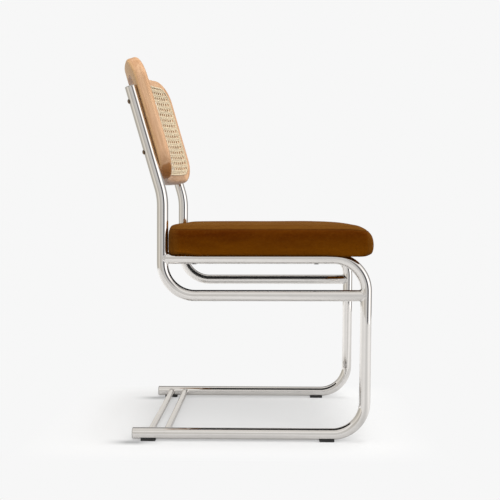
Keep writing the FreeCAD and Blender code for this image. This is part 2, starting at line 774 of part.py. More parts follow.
# Seat
seat_rear = upright_axis(size("seat_crown_height")) + tube_radius + size("seat_rear_gap")
underside = rail_top + size("fit_gap")
lip_bottom = rail_top - size("seat_lip_drop")
pad_height = size("seat_crown_height") - lip_bottom
# Each level of the pad: share of its height, then how far its front, sides and rear draw in,
# as shares of the height too
PAD_LEVEL_SHARES = [
    (0.000, 0.280, 0.056, 0.028),
    (0.103, 0.047, 0.012, 0.002),
    (0.353, 0.001, 0.000, 0.000),
    (0.604, 0.053, 0.016, 0.003),
    (0.802, 0.218, 0.094, 0.013),
    (0.899, 0.429, 0.310, 0.036),
    (0.937, 0.626, 0.574, 0.074),
    (0.957, 0.830, 0.830, 0.137),
    (0.972, 1.075, 1.046, 0.251),
    (0.982, 1.342, 1.241, 0.411),
    (0.989, 1.603, 1.420, 0.573),
    (0.995, 1.861, 1.589, 0.743),
    (0.998, 2.119, 1.746, 0.925),
    (1.000, 2.378, 1.888, 1.119),
]


def pad_form(name, inset, inset_expression):
    """The cushion's crowned form with drawn-in sides, shrunk all round by an inset."""
    body = new_body(name)
    sections = []
    height_expression = ("(sizes.seat_crown_height - sizes.seat_rail_height - sizes.tube_diameter / 2"
                         " + sizes.seat_lip_drop)")
    for place, (level, front, side, rear) in enumerate(PAD_LEVEL_SHARES):
        height = lip_bottom + inset + level * (pad_height - 2 * inset)
        sketch = new_sketch(body, "%s_level_%d" % (name, place), "XY_Plane", height)
        low = (seat_rear + rear * pad_height + inset, -(half_seat - side * pad_height - inset))
        high = (seat_front - front * pad_height - inset, half_seat - side * pad_height - inset)
        radii = (size("seat_rear_corner_radius") - inset, size("seat_front_corner_radius") - inset)
        side_expression = "%s - %s * %s - (%s)" % (half_seat_expression, side, height_expression,
                                                   inset_expression)
        rounded_rectangle(sketch, low, high, radii,
                          ["", "-(%s)" % side_expression, "", side_expression,
                           "sizes.seat_rear_corner_radius - (%s)" % inset_expression,
                           "sizes.seat_front_corner_radius - (%s)" % inset_expression])
        sections.append(sketch)
    doc.recompute()
    loft = body.newObject("PartDesign::AdditiveLoft", name + "_loft")
    loft.Profile = sections[0]
    loft.Sections = sections[1:]
    loft.Ruled = False
    doc.recompute()
    return body


lip_rear = seat_front - size("seat_lip_front_length")


def hollowed_form(name, inset, inset_expression):
    """The cushion's form with the room for the rails cut out of its underside."""
    form = pad_form(name + "_form", inset, inset_expression)
    reach = half_track + tube_radius + size("fit_gap") + inset
    low = V(seat_rear - size("cut_overrun"), -reach, lip_bottom - size("cut_overrun"))
    high = V(lip_rear + inset, reach, underside + inset)
    return combine("Cut", name, form, divider(name + "_rail_room", low, high))


cover = size("cover_thickness")
gap = size("fit_gap")
board_low = underside + cover + gap
board_high = board_low + size("board_thickness")
board_side = half_seat - size("board_side_inset")
board_side_expression = "%s - sizes.board_side_inset" % half_seat_expression
board_rear = seat_rear + size("board_end_inset")
board_front = seat_front - size("board_end_inset")
screw_spots = [V(x, side * half_track, 0) for x in seat_screw_places for side in (RIGHT, LEFT)]
# The cover is turned in under the seat by this much all round and leaves the middle open
opening_side = half_track + tube_radius + gap - size("cover_turn_under")
opening_rear = seat_rear + size("cover_turn_under")
opening_front = lip_rear - size("cover_turn_under")


def round_blocks(radius, height, low):
    """A round column at each seat screw, as one compound."""
    columns = [Part.makeCylinder(radius, height, spot + V(0, 0, low)) for spot in screw_spots]
    return Part.makeCompound(columns)


def seat_cover():
    """The velvet cover, open in the middle of its underside."""
    outer = hollowed_form("cover_outer", 0.0, "0")
    inner = hollowed_form("cover_inner", cover, "sizes.cover_thickness")
    shell = combine("Cut", "cover_shell", outer, inner)
    low = V(opening_rear, -opening_side, lip_bottom)
    high = V(opening_front, opening_side, board_low)
    opened = combine("Cut", "cover_opened", shell, divider("cover_opening", low, high))
    passes = round_blocks(size("seat_screw_diameter") / 2 + gap, board_low - lip_bottom, lip_bottom)
    return combine("Cut", "seat_cover", opened, shape_feature("cover_passes", passes))


def seat_board():
    """The plywood board with a hole for each tee nut."""
    board = new_body("seat_board")
    outline = new_sketch(board, "board_outline", "XY_Plane", board_low)
    rounded_rectangle(outline, (board_rear, -board_side), (board_front, board_side),
                      [size("board_corner_radius")] * 2,
                      ["", "-(%s)" % board_side_expression, "", board_side_expression,
                       "sizes.board_corner_radius", "sizes.board_corner_radius"])
    pad = board.newObject("PartDesign::Pad", "board_pad")
    pad.Profile = outline
    pad.Length = size("board_thickness")
    pad.setExpression("Length", "sizes.board_thickness")
    for number, spot in enumerate(screw_spots):
        drill(board, "board_hole_%d" % number, size("tee_nut_barrel_diameter") / 2 + gap,
              "sizes.tee_nut_barrel_diameter / 2 + sizes.fit_gap", spot + V(0, 0, board_low - gap),
              V(0, 0, 1), size("board_thickness") + 2 * gap)
    doc.recompute()
    return board


def seat_foam():
    """The foam, cut out for the board and for the flanges of the tee nuts."""
    full = hollowed_form("foam_outer", cover + 2 * gap, "sizes.cover_thickness + 2 * sizes.fit_gap")
    room = new_body("board_room")
    outline = new_sketch(room, "room_outline", "XY_Plane", underside)
    side_expression = board_side_expression + " + sizes.fit_gap"
    corner_expression = "sizes.board_corner_radius + sizes.fit_gap"
    rounded_rectangle(outline, (board_rear - gap, -board_side - gap), (board_front + gap, board_side + gap),
                      [size("board_corner_radius") + gap] * 2,
                      ["", "-(%s)" % side_expression, "", side_expression,
                       corner_expression, corner_expression])
    pad = room.newObject("PartDesign::Pad", "room_pad")
    pad.Profile = outline
    pad.Length = board_high + gap - underside
    doc.recompute()
    boarded = combine("Cut", "foam_boarded", full, room)
    dents = round_blocks(size("tee_nut_flange_diameter") / 2 + gap,
                         size("tee_nut_flange_thickness") + 2 * gap, board_high)
    return combine("Cut", "seat_foam", boarded, shape_feature("foam_dents", dents))


def seat_dust_cover():
    """The thin cloth that closes the cover's opening from below."""
    dust = new_body("seat_dust_cover")
    lap = size("dust_cover_overlap")
    outline = new_sketch(dust, "dust_cover_outline", "XY_Plane", rail_top - size("dust_cover_thickness"))
    rounded_rectangle(outline, (opening_rear - lap, -opening_side - lap),
                      (opening_front + lap, opening_side + lap), [size("board_corner_radius")] * 2,
                      ["", "", "", "", "sizes.board_corner_radius", "sizes.board_corner_radius"])
    cloth = dust.newObject("PartDesign::Pad", "dust_cover_pad")
    cloth.Profile = outline
    cloth.Length = size("dust_cover_thickness")
    cloth.setExpression("Length", "sizes.dust_cover_thickness")
    doc.recompute()
    return dust


def seat_screws():
    """Four screws up through the seat rails into the tee nuts."""
    height = size("seat_screw_head_height")
    head_top = size("seat_rail_height") - tube_radius - gap
    head_radius = size("seat_screw_head_diameter") / 2
    head = [head_radius, "sizes.seat_screw_head_diameter / 2", height, height - gap]
    shank = [size("seat_screw_diameter") / 2, "sizes.seat_screw_diameter / 2", board_high - head_top]
    master = headed_peg("seat_screw_master", head, shank)
    places = [facing(spot + V(0, 0, head_top), V(0, 0, -1)) for spot in screw_spots]
    return shape_feature("seat_screws", copies(master, places))


def seat_tee_nuts():
    """Four flanged nuts let into the top of the board."""
    nut = new_body("tee_nut_master")
    peg(nut, "tee_nut_flange", size("tee_nut_flange_diameter") / 2, "sizes.tee_nut_flange_diameter / 2",
        V(0, 0, 0), V(0, 0, 1), size("tee_nut_flange_thickness"))
    peg(nut, "tee_nut_barrel", size("tee_nut_barrel_diameter") / 2, "sizes.tee_nut_barrel_diameter / 2",
        V(0, 0, 0), V(0, 0, -1), size("tee_nut_barrel_length"))
    drill(nut, "tee_nut_bore", size("seat_screw_diameter") / 2 + gap / 2,
          "sizes.seat_screw_diameter / 2 + sizes.fit_gap / 2", V(0, 0, -size("board_thickness")),
          V(0, 0, 1), 2 * size("board_thickness"))
    doc.recompute()
    places = [FreeCAD.Placement(spot + V(0, 0, board_high), FreeCAD.Rotation()) for spot in screw_spots]
    return shape_feature("seat_tee_nuts", copies(nut, places))


def frame_pieces():
    """Both side frames, the crossbars, plugs and glides."""
    for name, side in (("right", RIGHT), ("left", LEFT)):
        nodes.append(upright_tube(name + "_upright_tube", side))
        nodes.append(seat_leg_tube(name + "_seat_leg_tube", side))
        top = kink_point + upright_top + V(0, side * half_track, 0)
        nodes.append(end_plug(name + "_upright_plug", top, back_axis))
        rear_end = V(runner_rear, side * half_track, runner_height)
        nodes.append(end_plug(name + "_runner_plug", rear_end, V(-1, 0, 0)))
        for end, place in glide_places:
            nodes.append(glide("%s_%s_glide" % (end, name), side, place))
    first_bar = runner_rear + size("rear_crossbar_setback")
    nodes.append(crossbar("rear_base_crossbar", first_bar))
    nodes.append(crossbar("front_base_crossbar", first_bar + size("crossbar_spacing")))


frame_pieces()
back_pieces()
nodes += [seat_cover(), seat_board(), seat_foam(), seat_dust_cover(), seat_screws(), seat_tee_nuts()]
doc.recompute()

faulty = [item.Name for item in doc.Objects if "Invalid" in item.State or "Error" in item.State]
if faulty:
    raise RuntimeError("not built: " + ", ".join(faulty))
for node in nodes:
    if node.Shape.isNull() or not node.Shape.isValid():
        raise RuntimeError("bad shape: " + node.Label)

os.makedirs("parts", exist_ok=True)
for node in nodes:
    node.Shape.exportStep("parts/%s.step" % node.Label)
    print(node.Label, len(node.Shape.Solids), round(node.Shape.Volume / 1000, 2), "cm3")
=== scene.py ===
import math
import random

import bmesh
import bpy
from bpy.props import FloatProperty, FloatVectorProperty, IntProperty, PointerProperty
from mathutils import Matrix, Vector, noise


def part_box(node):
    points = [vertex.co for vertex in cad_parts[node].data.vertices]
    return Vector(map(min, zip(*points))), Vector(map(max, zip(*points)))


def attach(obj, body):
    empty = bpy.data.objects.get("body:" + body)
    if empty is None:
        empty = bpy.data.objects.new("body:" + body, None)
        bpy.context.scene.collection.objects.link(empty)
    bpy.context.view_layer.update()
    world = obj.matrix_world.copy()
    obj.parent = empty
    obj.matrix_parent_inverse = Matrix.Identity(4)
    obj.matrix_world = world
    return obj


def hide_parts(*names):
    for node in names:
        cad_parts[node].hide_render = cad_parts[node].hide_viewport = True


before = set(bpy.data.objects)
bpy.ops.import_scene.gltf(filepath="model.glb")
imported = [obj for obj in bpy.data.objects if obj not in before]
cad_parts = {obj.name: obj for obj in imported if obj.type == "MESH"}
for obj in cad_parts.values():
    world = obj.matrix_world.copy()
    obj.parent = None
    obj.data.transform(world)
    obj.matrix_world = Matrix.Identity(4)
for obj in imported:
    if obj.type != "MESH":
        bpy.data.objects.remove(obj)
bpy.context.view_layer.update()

bl_info = {
    "name": "Cantilever Cane Chair",
    "version": (1, 0, 0),
    "blender": (4, 5, 0),
    "location": "View3D > Sidebar > Chair",
    "description": "Dresses a cantilever chair: bent chromed tube, padded velvet seat and a curved cane back",
    "category": "Object",
}

MM = 0.001
RIGHT = -1.0
LEFT = 1.0
SIDES = (("right", RIGHT), ("left", LEFT))

# Corners of the tube's own box give its middle line and its radius
TUBE_LOW, TUBE_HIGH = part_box("left_seat_leg_tube")
TUBE_RADIUS = (TUBE_HIGH.y - TUBE_LOW.y) / 2
HALF_TRACK = (TUBE_HIGH.y + TUBE_LOW.y) / 2


def length_property(name, description, default, low=0.0, high=1.0):
    """A length that a user may change, in metres."""
    return FloatProperty(name=name, description=description, default=default, min=low, max=high,
                         unit="LENGTH", precision=4)


def angle_property(name, description, default):
    """An angle that a user may change, in radians."""
    return FloatProperty(name=name, description=description, default=default, subtype="ANGLE")


def share_property(name, description, default, low=0.0, high=1.0):
    """A share that a user may change."""
    return FloatProperty(name=name, description=description, default=default, min=low, max=high,
                         subtype="FACTOR")


def strength_property(name, description, default):
    """A strength that a user may change."""
    return FloatProperty(name=name, description=description, default=default, min=0.0)


def count_property(name, description, default, low, high):
    """A number of steps that a user may change."""
    return IntProperty(name=name, description=description, default=default, min=low, max=high)


def colour_property(name, description, default):
    """A colour that a user may change."""
    return FloatVectorProperty(name=name, description=description, default=default, size=3,
                               min=0.0, max=1.0, subtype="COLOR")


class TubeFrameSettings(bpy.types.PropertyGroup):
    """Sizes of the bent tube frame."""
    seat_rail_height: length_property("Seat rail height", "Middle of the upper seat rail", 407.5 * MM)
    lower_rail_height: length_property("Lower rail height", "Middle of the lower rail", 325 * MM)
    runner_height: length_property("Runner height", "Middle of the floor runner", 16.5 * MM)
    runner_rear: length_property("Runner rear end", "X of the floor runner's rear end", -246.45 * MM, -1.0)
    leg_x: length_property("Leg", "X of the front leg at the seat rail", 270.75 * MM, -1.0)
    upright_x: length_property("Upright", "X of the upright at the seat rail", -178.45 * MM, -1.0)
    lean: angle_property("Lean", "How far legs and uprights lean forwards", math.radians(0.42))
    tilt: angle_property("Back tilt", "Backward tilt of the uprights above their kink", math.radians(16))
    kink_height: length_property("Kink height", "Where the uprights turn backwards", 543.4 * MM)
    above_kink: length_property("Upright above kink", "Length of the uprights above their kink", 249 * MM)
    bend_radius: length_property("Bend radius", "Middle-line radius of the round bends", 72 * MM)
    kink_radius: length_property("Kink radius", "Middle-line radius of the kink", 150 * MM)
    bend_steps: count_property("Bend steps", "Pieces along each bend", 28, 4, 96)
    round_steps: count_property("Round steps", "Faces round the tube", 64, 12, 128)
    crossbar_radius: length_property("Crossbar radius", "Radius of the crossbars", 7.5 * MM)
    weld_size: length_property("Weld size", "Reach of the fillet at each weld", 2.6 * MM)


class BackSettings(bpy.types.PropertyGroup):
    """Sizes of the bent back and its cane."""
    half_width: length_property("Half width", "Half of the back's width", 220 * MM)
    low: length_property("Lower edge", "Lower edge of the back, counted from the kink", 39 * MM)
    high: length_property("Upper edge", "Upper edge of the back, counted from the kink", 319 * MM)
    corner: length_property("Corner radius", "Outer corner radius of the back", 60 * MM)
    bend_centre: length_property("Bend centre", "Bend centre of the back before the uprights", 575.71 * MM)
    front_radius: length_property("Front radius", "Bend radius of the back's front face", 573 * MM)
    cane_border: length_property("Cane border", "Wood outside the cane", 20 * MM)
    groove: length_property("Groove width", "Width of the spline's groove", 4.5 * MM)
    spline_proud: length_property("Spline height", "How far the spline stands proud", 1.1 * MM)
    cane_depth: length_property("Cane depth", "Middle of the cane behind the wood's face", 0.62 * MM)
    pitch: length_property("Cane pitch", "Distance from one pair of strands to the next", 14.6 * MM)
    strand_width: length_property("Strand width", "Width of a cane strand", 2.9 * MM)
    strand_thickness: length_property("Strand thickness", "Thickness of a cane strand", 0.36 * MM)
    pair_share: share_property("Pair spacing", "Half the distance in a pair, as a share of the pitch",
                               0.143, 0.05, 0.25)


class CushionSettings(bpy.types.PropertyGroup):
    """Sizes of the padded seat."""
    rear: length_property("Rear", "X of the cushion's rear", -164.88 * MM, -1.0)
    front: length_property("Front", "X of the cushion's front", 286.85 * MM, -1.0)
    half_width: length_property("Half width", "Half of the cushion's width", 232.5 * MM)
    bottom: length_property("Bottom", "Lowest edge of the cover", 413.5 * MM)
    crown: length_property("Crown", "Highest point of the cushion", 485 * MM)
    seat_line: length_property("Seat line", "Level of the underside on the rails", 420.3 * MM)
    rear_corner: length_property("Rear corners", "Plan radius of the rear corners", 15 * MM)
    front_corner: length_property("Front corners", "Plan radius of the front corners", 18 * MM)
    seam_side: length_property("Side seam", "Level of the seam at the sides and the rear", 471 * MM)
    seam_front: length_property("Front seam", "Level of the seam at the front", 467.5 * MM)
    voxel: length_property("Cloth grain", "Edge length of the simulated cloth", 5.2 * MM)
    start_inset: length_property("Start inset", "How much smaller the pad is before it is filled", 0.6 * MM)
    swell: length_property("Swell", "How far filling may push a point outwards", 1.2 * MM)
    sink: length_property("Sink", "How far filling may pull a point inwards", 0.2 * MM)
    slide: length_property("Slide", "How far filling may shift a point sideways", 1.2 * MM)
    pressure: strength_property("Filling pressure", "Pressure of the filling", 4.0)


class FinishSettings(bpy.types.PropertyGroup):
    """Colours of the chair and of the stage."""
    velvet: colour_property("Velvet", "Ground colour of the velvet", (0.080, 0.0155, 0.0004))
    # The colour painted as sheen where the velvet would catch light
    velvet_sheen: colour_property("Velvet nap", "Colour of the nap where it catches light",
                                (0.138, 0.054, 0.0075))
    beech_light: colour_property("Light beech", "Early wood", (0.77, 0.49, 0.285))
    beech_dark: colour_property("Dark beech", "Late wood", (0.54, 0.295, 0.14))
    beech_rose: colour_property("Rose beech", "Pinkish patches of the heartwood", (0.74, 0.46, 0.30))
    # Painted warm bounce light for faces that turn to the rear
    beech_rear_bounce: colour_property("Golden beech", "Faces that turn to the rear", (0.88, 0.54, 0.26))
    # End grain, also painted as shade on the uprights' faces that turn down
    beech_end_and_shade: colour_property("End grain", "Wood cut across its grain", (0.50, 0.205, 0.060))
    cane: colour_property("Cane", "Colour of the cane", (0.80, 0.67, 0.47))
    chrome: colour_property("Chrome", "Colour of the chromed tube", (0.905, 0.883, 0.862))
    bronze: colour_property("Bronze", "Colour of the back's screws", (0.19, 0.13, 0.085))
    glide: colour_property("Glides", "Colour of the glides", (0.018, 0.018, 0.018))
    lining: colour_property("Lining", "Colour of the cloth under the seat", (0.012, 0.012, 0.013))
    floor: colour_property("Floor", "Colour of the floor", (0.83, 0.835, 0.84))
    background: colour_property("Background", "Colour behind the chair", (0.93, 0.93, 0.93))


class StageSettings(bpy.types.PropertyGroup):
    """The camera's place and the strength of the light."""
    camera_x: length_property("Camera X", "Place of the camera", 0.0595, -10, 10)
    camera_y: length_property("Camera Y", "Place of the camera", -1.96325, -10, 10)
    camera_z: length_property("Camera Z", "Place of the camera", 0.51213, -10, 10)
    yaw: angle_property("Yaw", "Turn of the camera to the left", 0.0254988)
    pitch: angle_property("Pitch", "Tilt of the camera downwards", 0.0492066)
    roll: angle_property("Roll", "Roll of the camera", -0.0012243)
    lens: FloatProperty(name="Lens", description="Focal length for a 36 mm wide picture", default=57.4085,
                        unit="CAMERA")
    world_strength: strength_property("Studio light", "Strength of the light from all round", 0.95)
    key_strength: strength_property("Key light", "Light from the camera's side", 1.55)
    front_strength: strength_property("Front light", "Low light on the chair's front", 0.5)
    top_strength: strength_property("Top light", "Light from straight above", 1.1)
    shadow_share: share_property("Shadow", "How much of the floor's shading the picture shows", 0.60)
    floor_reach: length_property("Floor reach", "Radius of the floor", 2.2, 0.5, 20)


def settings(name):
    """One group of the scene's settings."""
    return getattr(bpy.context.scene, "chair_" + name)


# Node trees
class Tree:
    """Short calls that build a node tree."""

    def __init__(self, tree):
        self.tree = tree

    def node(self, kind, inputs=None, **options):
        """A node with its options set and its inputs fed with values or with other nodes' outputs."""
        node = self.tree.nodes.new(kind)
        for key, value in options.items():
            setattr(node, key, value)
        for key, value in (inputs or {}).items():
            self.feed(node.inputs[key], value)
        return node

    def out(self, kind, inputs=None, **options):
        """The first output of a new node."""
        return self.node(kind, inputs, **options).outputs[0]

    def feed(self, socket, value):
        """Link an output to a socket, or set the socket's own value."""
        if isinstance(value, bpy.types.NodeSocket):
            self.tree.links.new(value, socket)
        else:
            socket.default_value = value

    def math(self, operation, first, second=0.0):
        return self.out("ShaderNodeMath", {0: first, 1: second}, operation=operation)

    def plus(self, first, second):
        return self.math("ADD", first, second)

    def minus(self, first, second):
        return self.math("SUBTRACT", first, second)

    def times(self, first, second):
        return self.math("MULTIPLY", first, second)

    def absolute(self, value):
        return self.math("ABSOLUTE", value)

    def vector(self, x, y, z):
        return self.out("ShaderNodeCombineXYZ", {0: x, 1: y, 2: z})

    def split(self, vector):
        return self.node("ShaderNodeSeparateXYZ", {0: vector}).outputs

    def rays(self):
        """Outputs that tell which kind of ray looks."""
        return self.node("ShaderNodeLightPath").outputs

    def attribute(self, name, kind="FLOAT"):
        """What a geometry tree's mesh carries at its points."""
        return self.out("GeometryNodeInputNamedAttribute", {"Name": name}, data_type=kind)

    def stored(self, geometry, name, value):
        """Geometry that carries a value at its points."""
        inputs = {"Geometry": geometry, "Name": name, "Value": value}
        return self.out("GeometryNodeStoreNamedAttribute", inputs, data_type="FLOAT", domain="POINT")

    def spread(self, value, low, high, new_low=0.0, new_high=1.0, curve="LINEAR"):
        """A value mapped from one range to another and held inside it."""
        return self.out("ShaderNodeMapRange", {"Value": value, "From Min": low, "From Max": high,
                                               "To Min": new_low, "To Max": new_high},
                        interpolation_type=curve)

    def mixed(self, share, first, second):
        """Two colours mixed by a share."""
        node = self.node("ShaderNodeMix", {"Factor": share}, data_type="RGBA")
        for socket, value in ((node.inputs[6], first), (node.inputs[7], second)):
            if not isinstance(value, bpy.types.NodeSocket) and len(value) == 3:
                value = (*value, 1.0)
            self.feed(socket, value)
        return node.outputs[2]

    def ramp(self, value, stops):
        """A colour ramp from (position, colour) stops; a colour may be a single grey value."""
        ramp = self.node("ShaderNodeValToRGB", {"Fac": value})
        elements = ramp.color_ramp.elements
        while len(elements) > 1:
            elements.remove(elements[-1])
        for number, (position, colour) in enumerate(stops):
            colour = (colour,) * 3 if isinstance(colour, float) else colour
            if number == 0:
                elements[0].position = position
            element = elements[0] if number == 0 else elements.new(position)
            element.color = (*colour, 1)
        return ramp.outputs[0]


def geometry_tree(name, sizes):
    """A geometry tree with named inputs; returns the tree, its builder and the group input's outputs."""
    group = bpy.data.node_groups.new(name, "GeometryNodeTree")
    group.interface.new_socket("Geometry", in_out="INPUT", socket_type="NodeSocketGeometry")
    for label, value in sizes.items():
        kind = "NodeSocketInt" if isinstance(value, int) else "NodeSocketFloat"
        socket = group.interface.new_socket(label, in_out="INPUT", socket_type=kind)
        socket.default_value = value
    group.interface.new_socket("Material", in_out="INPUT", socket_type="NodeSocketMaterial")
    group.interface.new_socket("Geometry", in_out="OUTPUT", socket_type="NodeSocketGeometry")
    tree = Tree(group)
    return group, tree, tree.node("NodeGroupInput").outputs


def finish_tree(tree, geometry, material, smooth=True):
    """End a geometry tree: realized, shaded and with its material set."""
    real = tree.out("GeometryNodeRealizeInstances", {"Geometry": geometry})
    if smooth:
        real = tree.out("GeometryNodeSetShadeSmooth", {"Geometry": real})
    coated = tree.out("GeometryNodeSetMaterial", {"Geometry": real, "Material": material})
    tree.node("NodeGroupOutput", {"Geometry": coated})


# Meshes and pieces
def linked(name, data):
    """A new object in the scene."""
    piece = bpy.data.objects.new(name, data)
    bpy.context.scene.collection.objects.link(piece)
    return piece


def evaluated_mesh(piece):
    """What a piece's modifiers make, as a mesh of its own."""
    bpy.context.view_layer.update()
    return bpy.data.meshes.new_from_object(piece.evaluated_get(bpy.context.evaluated_depsgraph_get()))


def grow(name, mesh, group, values):
    """Run a geometry tree on a mesh and keep the result as a plain mesh object."""
    piece = linked(name, mesh)
    modifier = piece.modifiers.new("Build", "NODES")
    modifier.node_group = group
    for item in group.interface.items_tree:
        if item.item_type == "SOCKET" and item.in_out == "INPUT" and item.name in values:
            modifier[item.identifier] = values[item.name]
    result = evaluated_mesh(piece)
    piece.modifiers.remove(modifier)
    piece.data = result
    result.name = name
    return piece


def apply_modifiers(piece):
    """Keep what the modifiers make as the piece's own mesh."""
    result = evaluated_mesh(piece)
    piece.modifiers.clear()
    piece.data = result


def mesh_piece(name, points, faces, material, smooth=True):
    """A mesh object from points and faces."""
    mesh = bpy.data.meshes.new(name)
    mesh.from_pydata([tuple(p) for p in points], [], faces)
    mesh.validate()
    mesh.materials.append(material)
    mesh.polygons.foreach_set("use_smooth", [smooth] * len(mesh.polygons))
    return linked(name, mesh)


def point_mesh(name, points, edges, key=None, values=(), kind="FLOAT"):
    """A mesh of points and edges, with a value or a direction stored at each point."""
    mesh = bpy.data.meshes.new(name)
    mesh.from_pydata([tuple(p) for p in points], edges, [])
    if key:
        store = mesh.attributes.new(key, kind, "POINT")
        store.data.foreach_set("value" if kind == "FLOAT" else "vector", values)
    return mesh


def chain(count, start=0):
    """Edges that join a row of points."""
    return [(start + n, start + n + 1) for n in range(count - 1)]


def loop(count):
    """Edges that join a ring of points."""
    return [(n, (n + 1) % count) for n in range(count)]


def ring_faces(rings, count):
    """Faces between rings of points that follow each other, with flat ends."""
    faces = []
    for here in range(0, (rings - 1) * count, count):
        for step in range(count):
            after = (step + 1) % count
            faces.append((here + step, here + after, here + count + after, here + count + step))
    return faces + [tuple(reversed(range(count))), tuple(range((rings - 1) * count, rings * count))]


def outward(mesh):
    """Merge doubled points and turn all faces outwards."""
    shape = bmesh.new()
    shape.from_mesh(mesh)
    bmesh.ops.remove_doubles(shape, verts=shape.verts, dist=1e-6)
    bmesh.ops.recalc_face_normals(shape, faces=shape.faces)
    shape.to_mesh(mesh)
    shape.free()


def settle(piece, slot, *nodes):
    """Let a finished piece ride on the chair and stand for CAD nodes; its slot is not used."""
    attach(piece, "root")
    if nodes:
        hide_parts(*nodes)


def ease(value, start, end):
    """0 before start, 1 after end, and smooth between them."""
    share = min(max((value - start) / (end - start), 0.0), 1.0)
    return share * share * (3 - 2 * share)


# Materials
class Finish(Tree):
    """A material whose nodes are built with short calls."""

    def __init__(self, name):
        self.material = bpy.data.materials.new(name)
        self.material.use_nodes = True
        super().__init__(self.material.node_tree)
        self.shader = self.tree.nodes["Principled BSDF"]
        self.place = self.node("ShaderNodeTexCoord").outputs["Object"]

    def set(self, **values):
        """Set sockets of the shader, where an underscore stands for a space, and return the material."""
        for key, value in values.items():
            self.feed(self.shader.inputs[key.replace("_", " ")], value)
        return self.material

    def noise(self, scale, detail, roughness=0.5, distortion=0.0, turn=(0, 0, 0), vector=None):
        """A noise over object coordinates or a vector; three scales turn and then stretch the coordinates."""
        if isinstance(scale, tuple):
            turned = self.out("ShaderNodeMapping", {"Vector": self.place, "Rotation": turn})
            vector, scale = self.out("ShaderNodeMapping", {"Vector": turned, "Scale": scale}), 1.0
        inputs = {"Vector": vector or self.place, "Scale": scale, "Detail": detail, "Roughness": roughness,
                  "Distortion": distortion}
        return self.node("ShaderNodeTexNoise", inputs).outputs["Fac"]

    def bump(self, height, distance, strength):
        return self.out("ShaderNodeBump", {"Height": height, "Distance": distance, "Strength": strength})

    def rough(self, value, low, high):
        """Roughness from low to high that follows a noise."""
        return self.spread(value, 0.3, 0.7, low, high)

    def tinted(self, tone, value, low, high, share, colour):
        """A tone that takes up a share of another colour as a value goes from low to high."""
        return self.mixed(self.spread(value, low, high, 0.0, share), tone, colour)


def scaled(colour, factor):
    """A colour made lighter or darker."""
    return tuple(min(channel * factor, 1.0) for channel in colour)


def chrome_finish():
    """Polished chrome with faint polishing marks and dulled spots."""
    finish = Finish("polished_chrome")
    colour = settings("finish").chrome
    haze = finish.noise(38.0, 5.0, 0.6)
    marks = finish.noise((90, 900, 900), 3.0)
    ripple = finish.noise(9.0, 2.0)
    roughness = finish.plus(finish.spread(haze, 0.35, 0.75, 0.035, 0.085),
                            finish.spread(marks, 0.55, 0.8, 0.0, 0.03))
    return finish.set(Base_Color=finish.mixed(finish.spread(haze, 0.4, 0.8), colour, scaled(colour, 0.96)),
                      Metallic=1.0, Roughness=roughness, Normal=finish.bump(ripple, 0.0012, 0.12))


def weld_finish():
    """Chrome over a ground weld, a little duller than the tube."""
    finish = Finish("chromed_weld")
    beads = finish.noise(420.0, 3.0)
    return finish.set(Base_Color=(*scaled(settings("finish").chrome, 0.95), 1), Metallic=1.0,
                      Roughness=finish.rough(beads, 0.10, 0.20), Normal=finish.bump(beads, 0.0004, 0.5))


def plug_finish():
    """Nickel-grey moulded end plugs."""
    finish = Finish("plug_grey")
    grain = finish.noise(900.0, 3.0)
    return finish.set(Base_Color=finish.mixed(grain, (0.50, 0.49, 0.48), (0.60, 0.59, 0.57)), Metallic=0.75,
                      Roughness=finish.rough(grain, 0.24, 0.36), Normal=finish.bump(grain, 0.0002, 0.3))


def glide_finish():
    """Black moulded nylon with a fine texture and scuffed feet."""
    finish = Finish("glide_black")
    black = settings("finish").glide
    grain = finish.noise(1400.0, 3.0)
    scuffs = finish.noise((60, 260, 60), 5.0, 0.65)
    height = finish.split(finish.place)[2]
    worn = finish.times(finish.spread(height, 0.0035, 0.0), finish.spread(scuffs, 0.45, 0.7))
    return finish.set(Base_Color=finish.mixed(worn, black, scaled(black, 4.5)),
                      Roughness=finish.rough(grain, 0.42, 0.58), Normal=finish.bump(grain, 0.0002, 0.4))


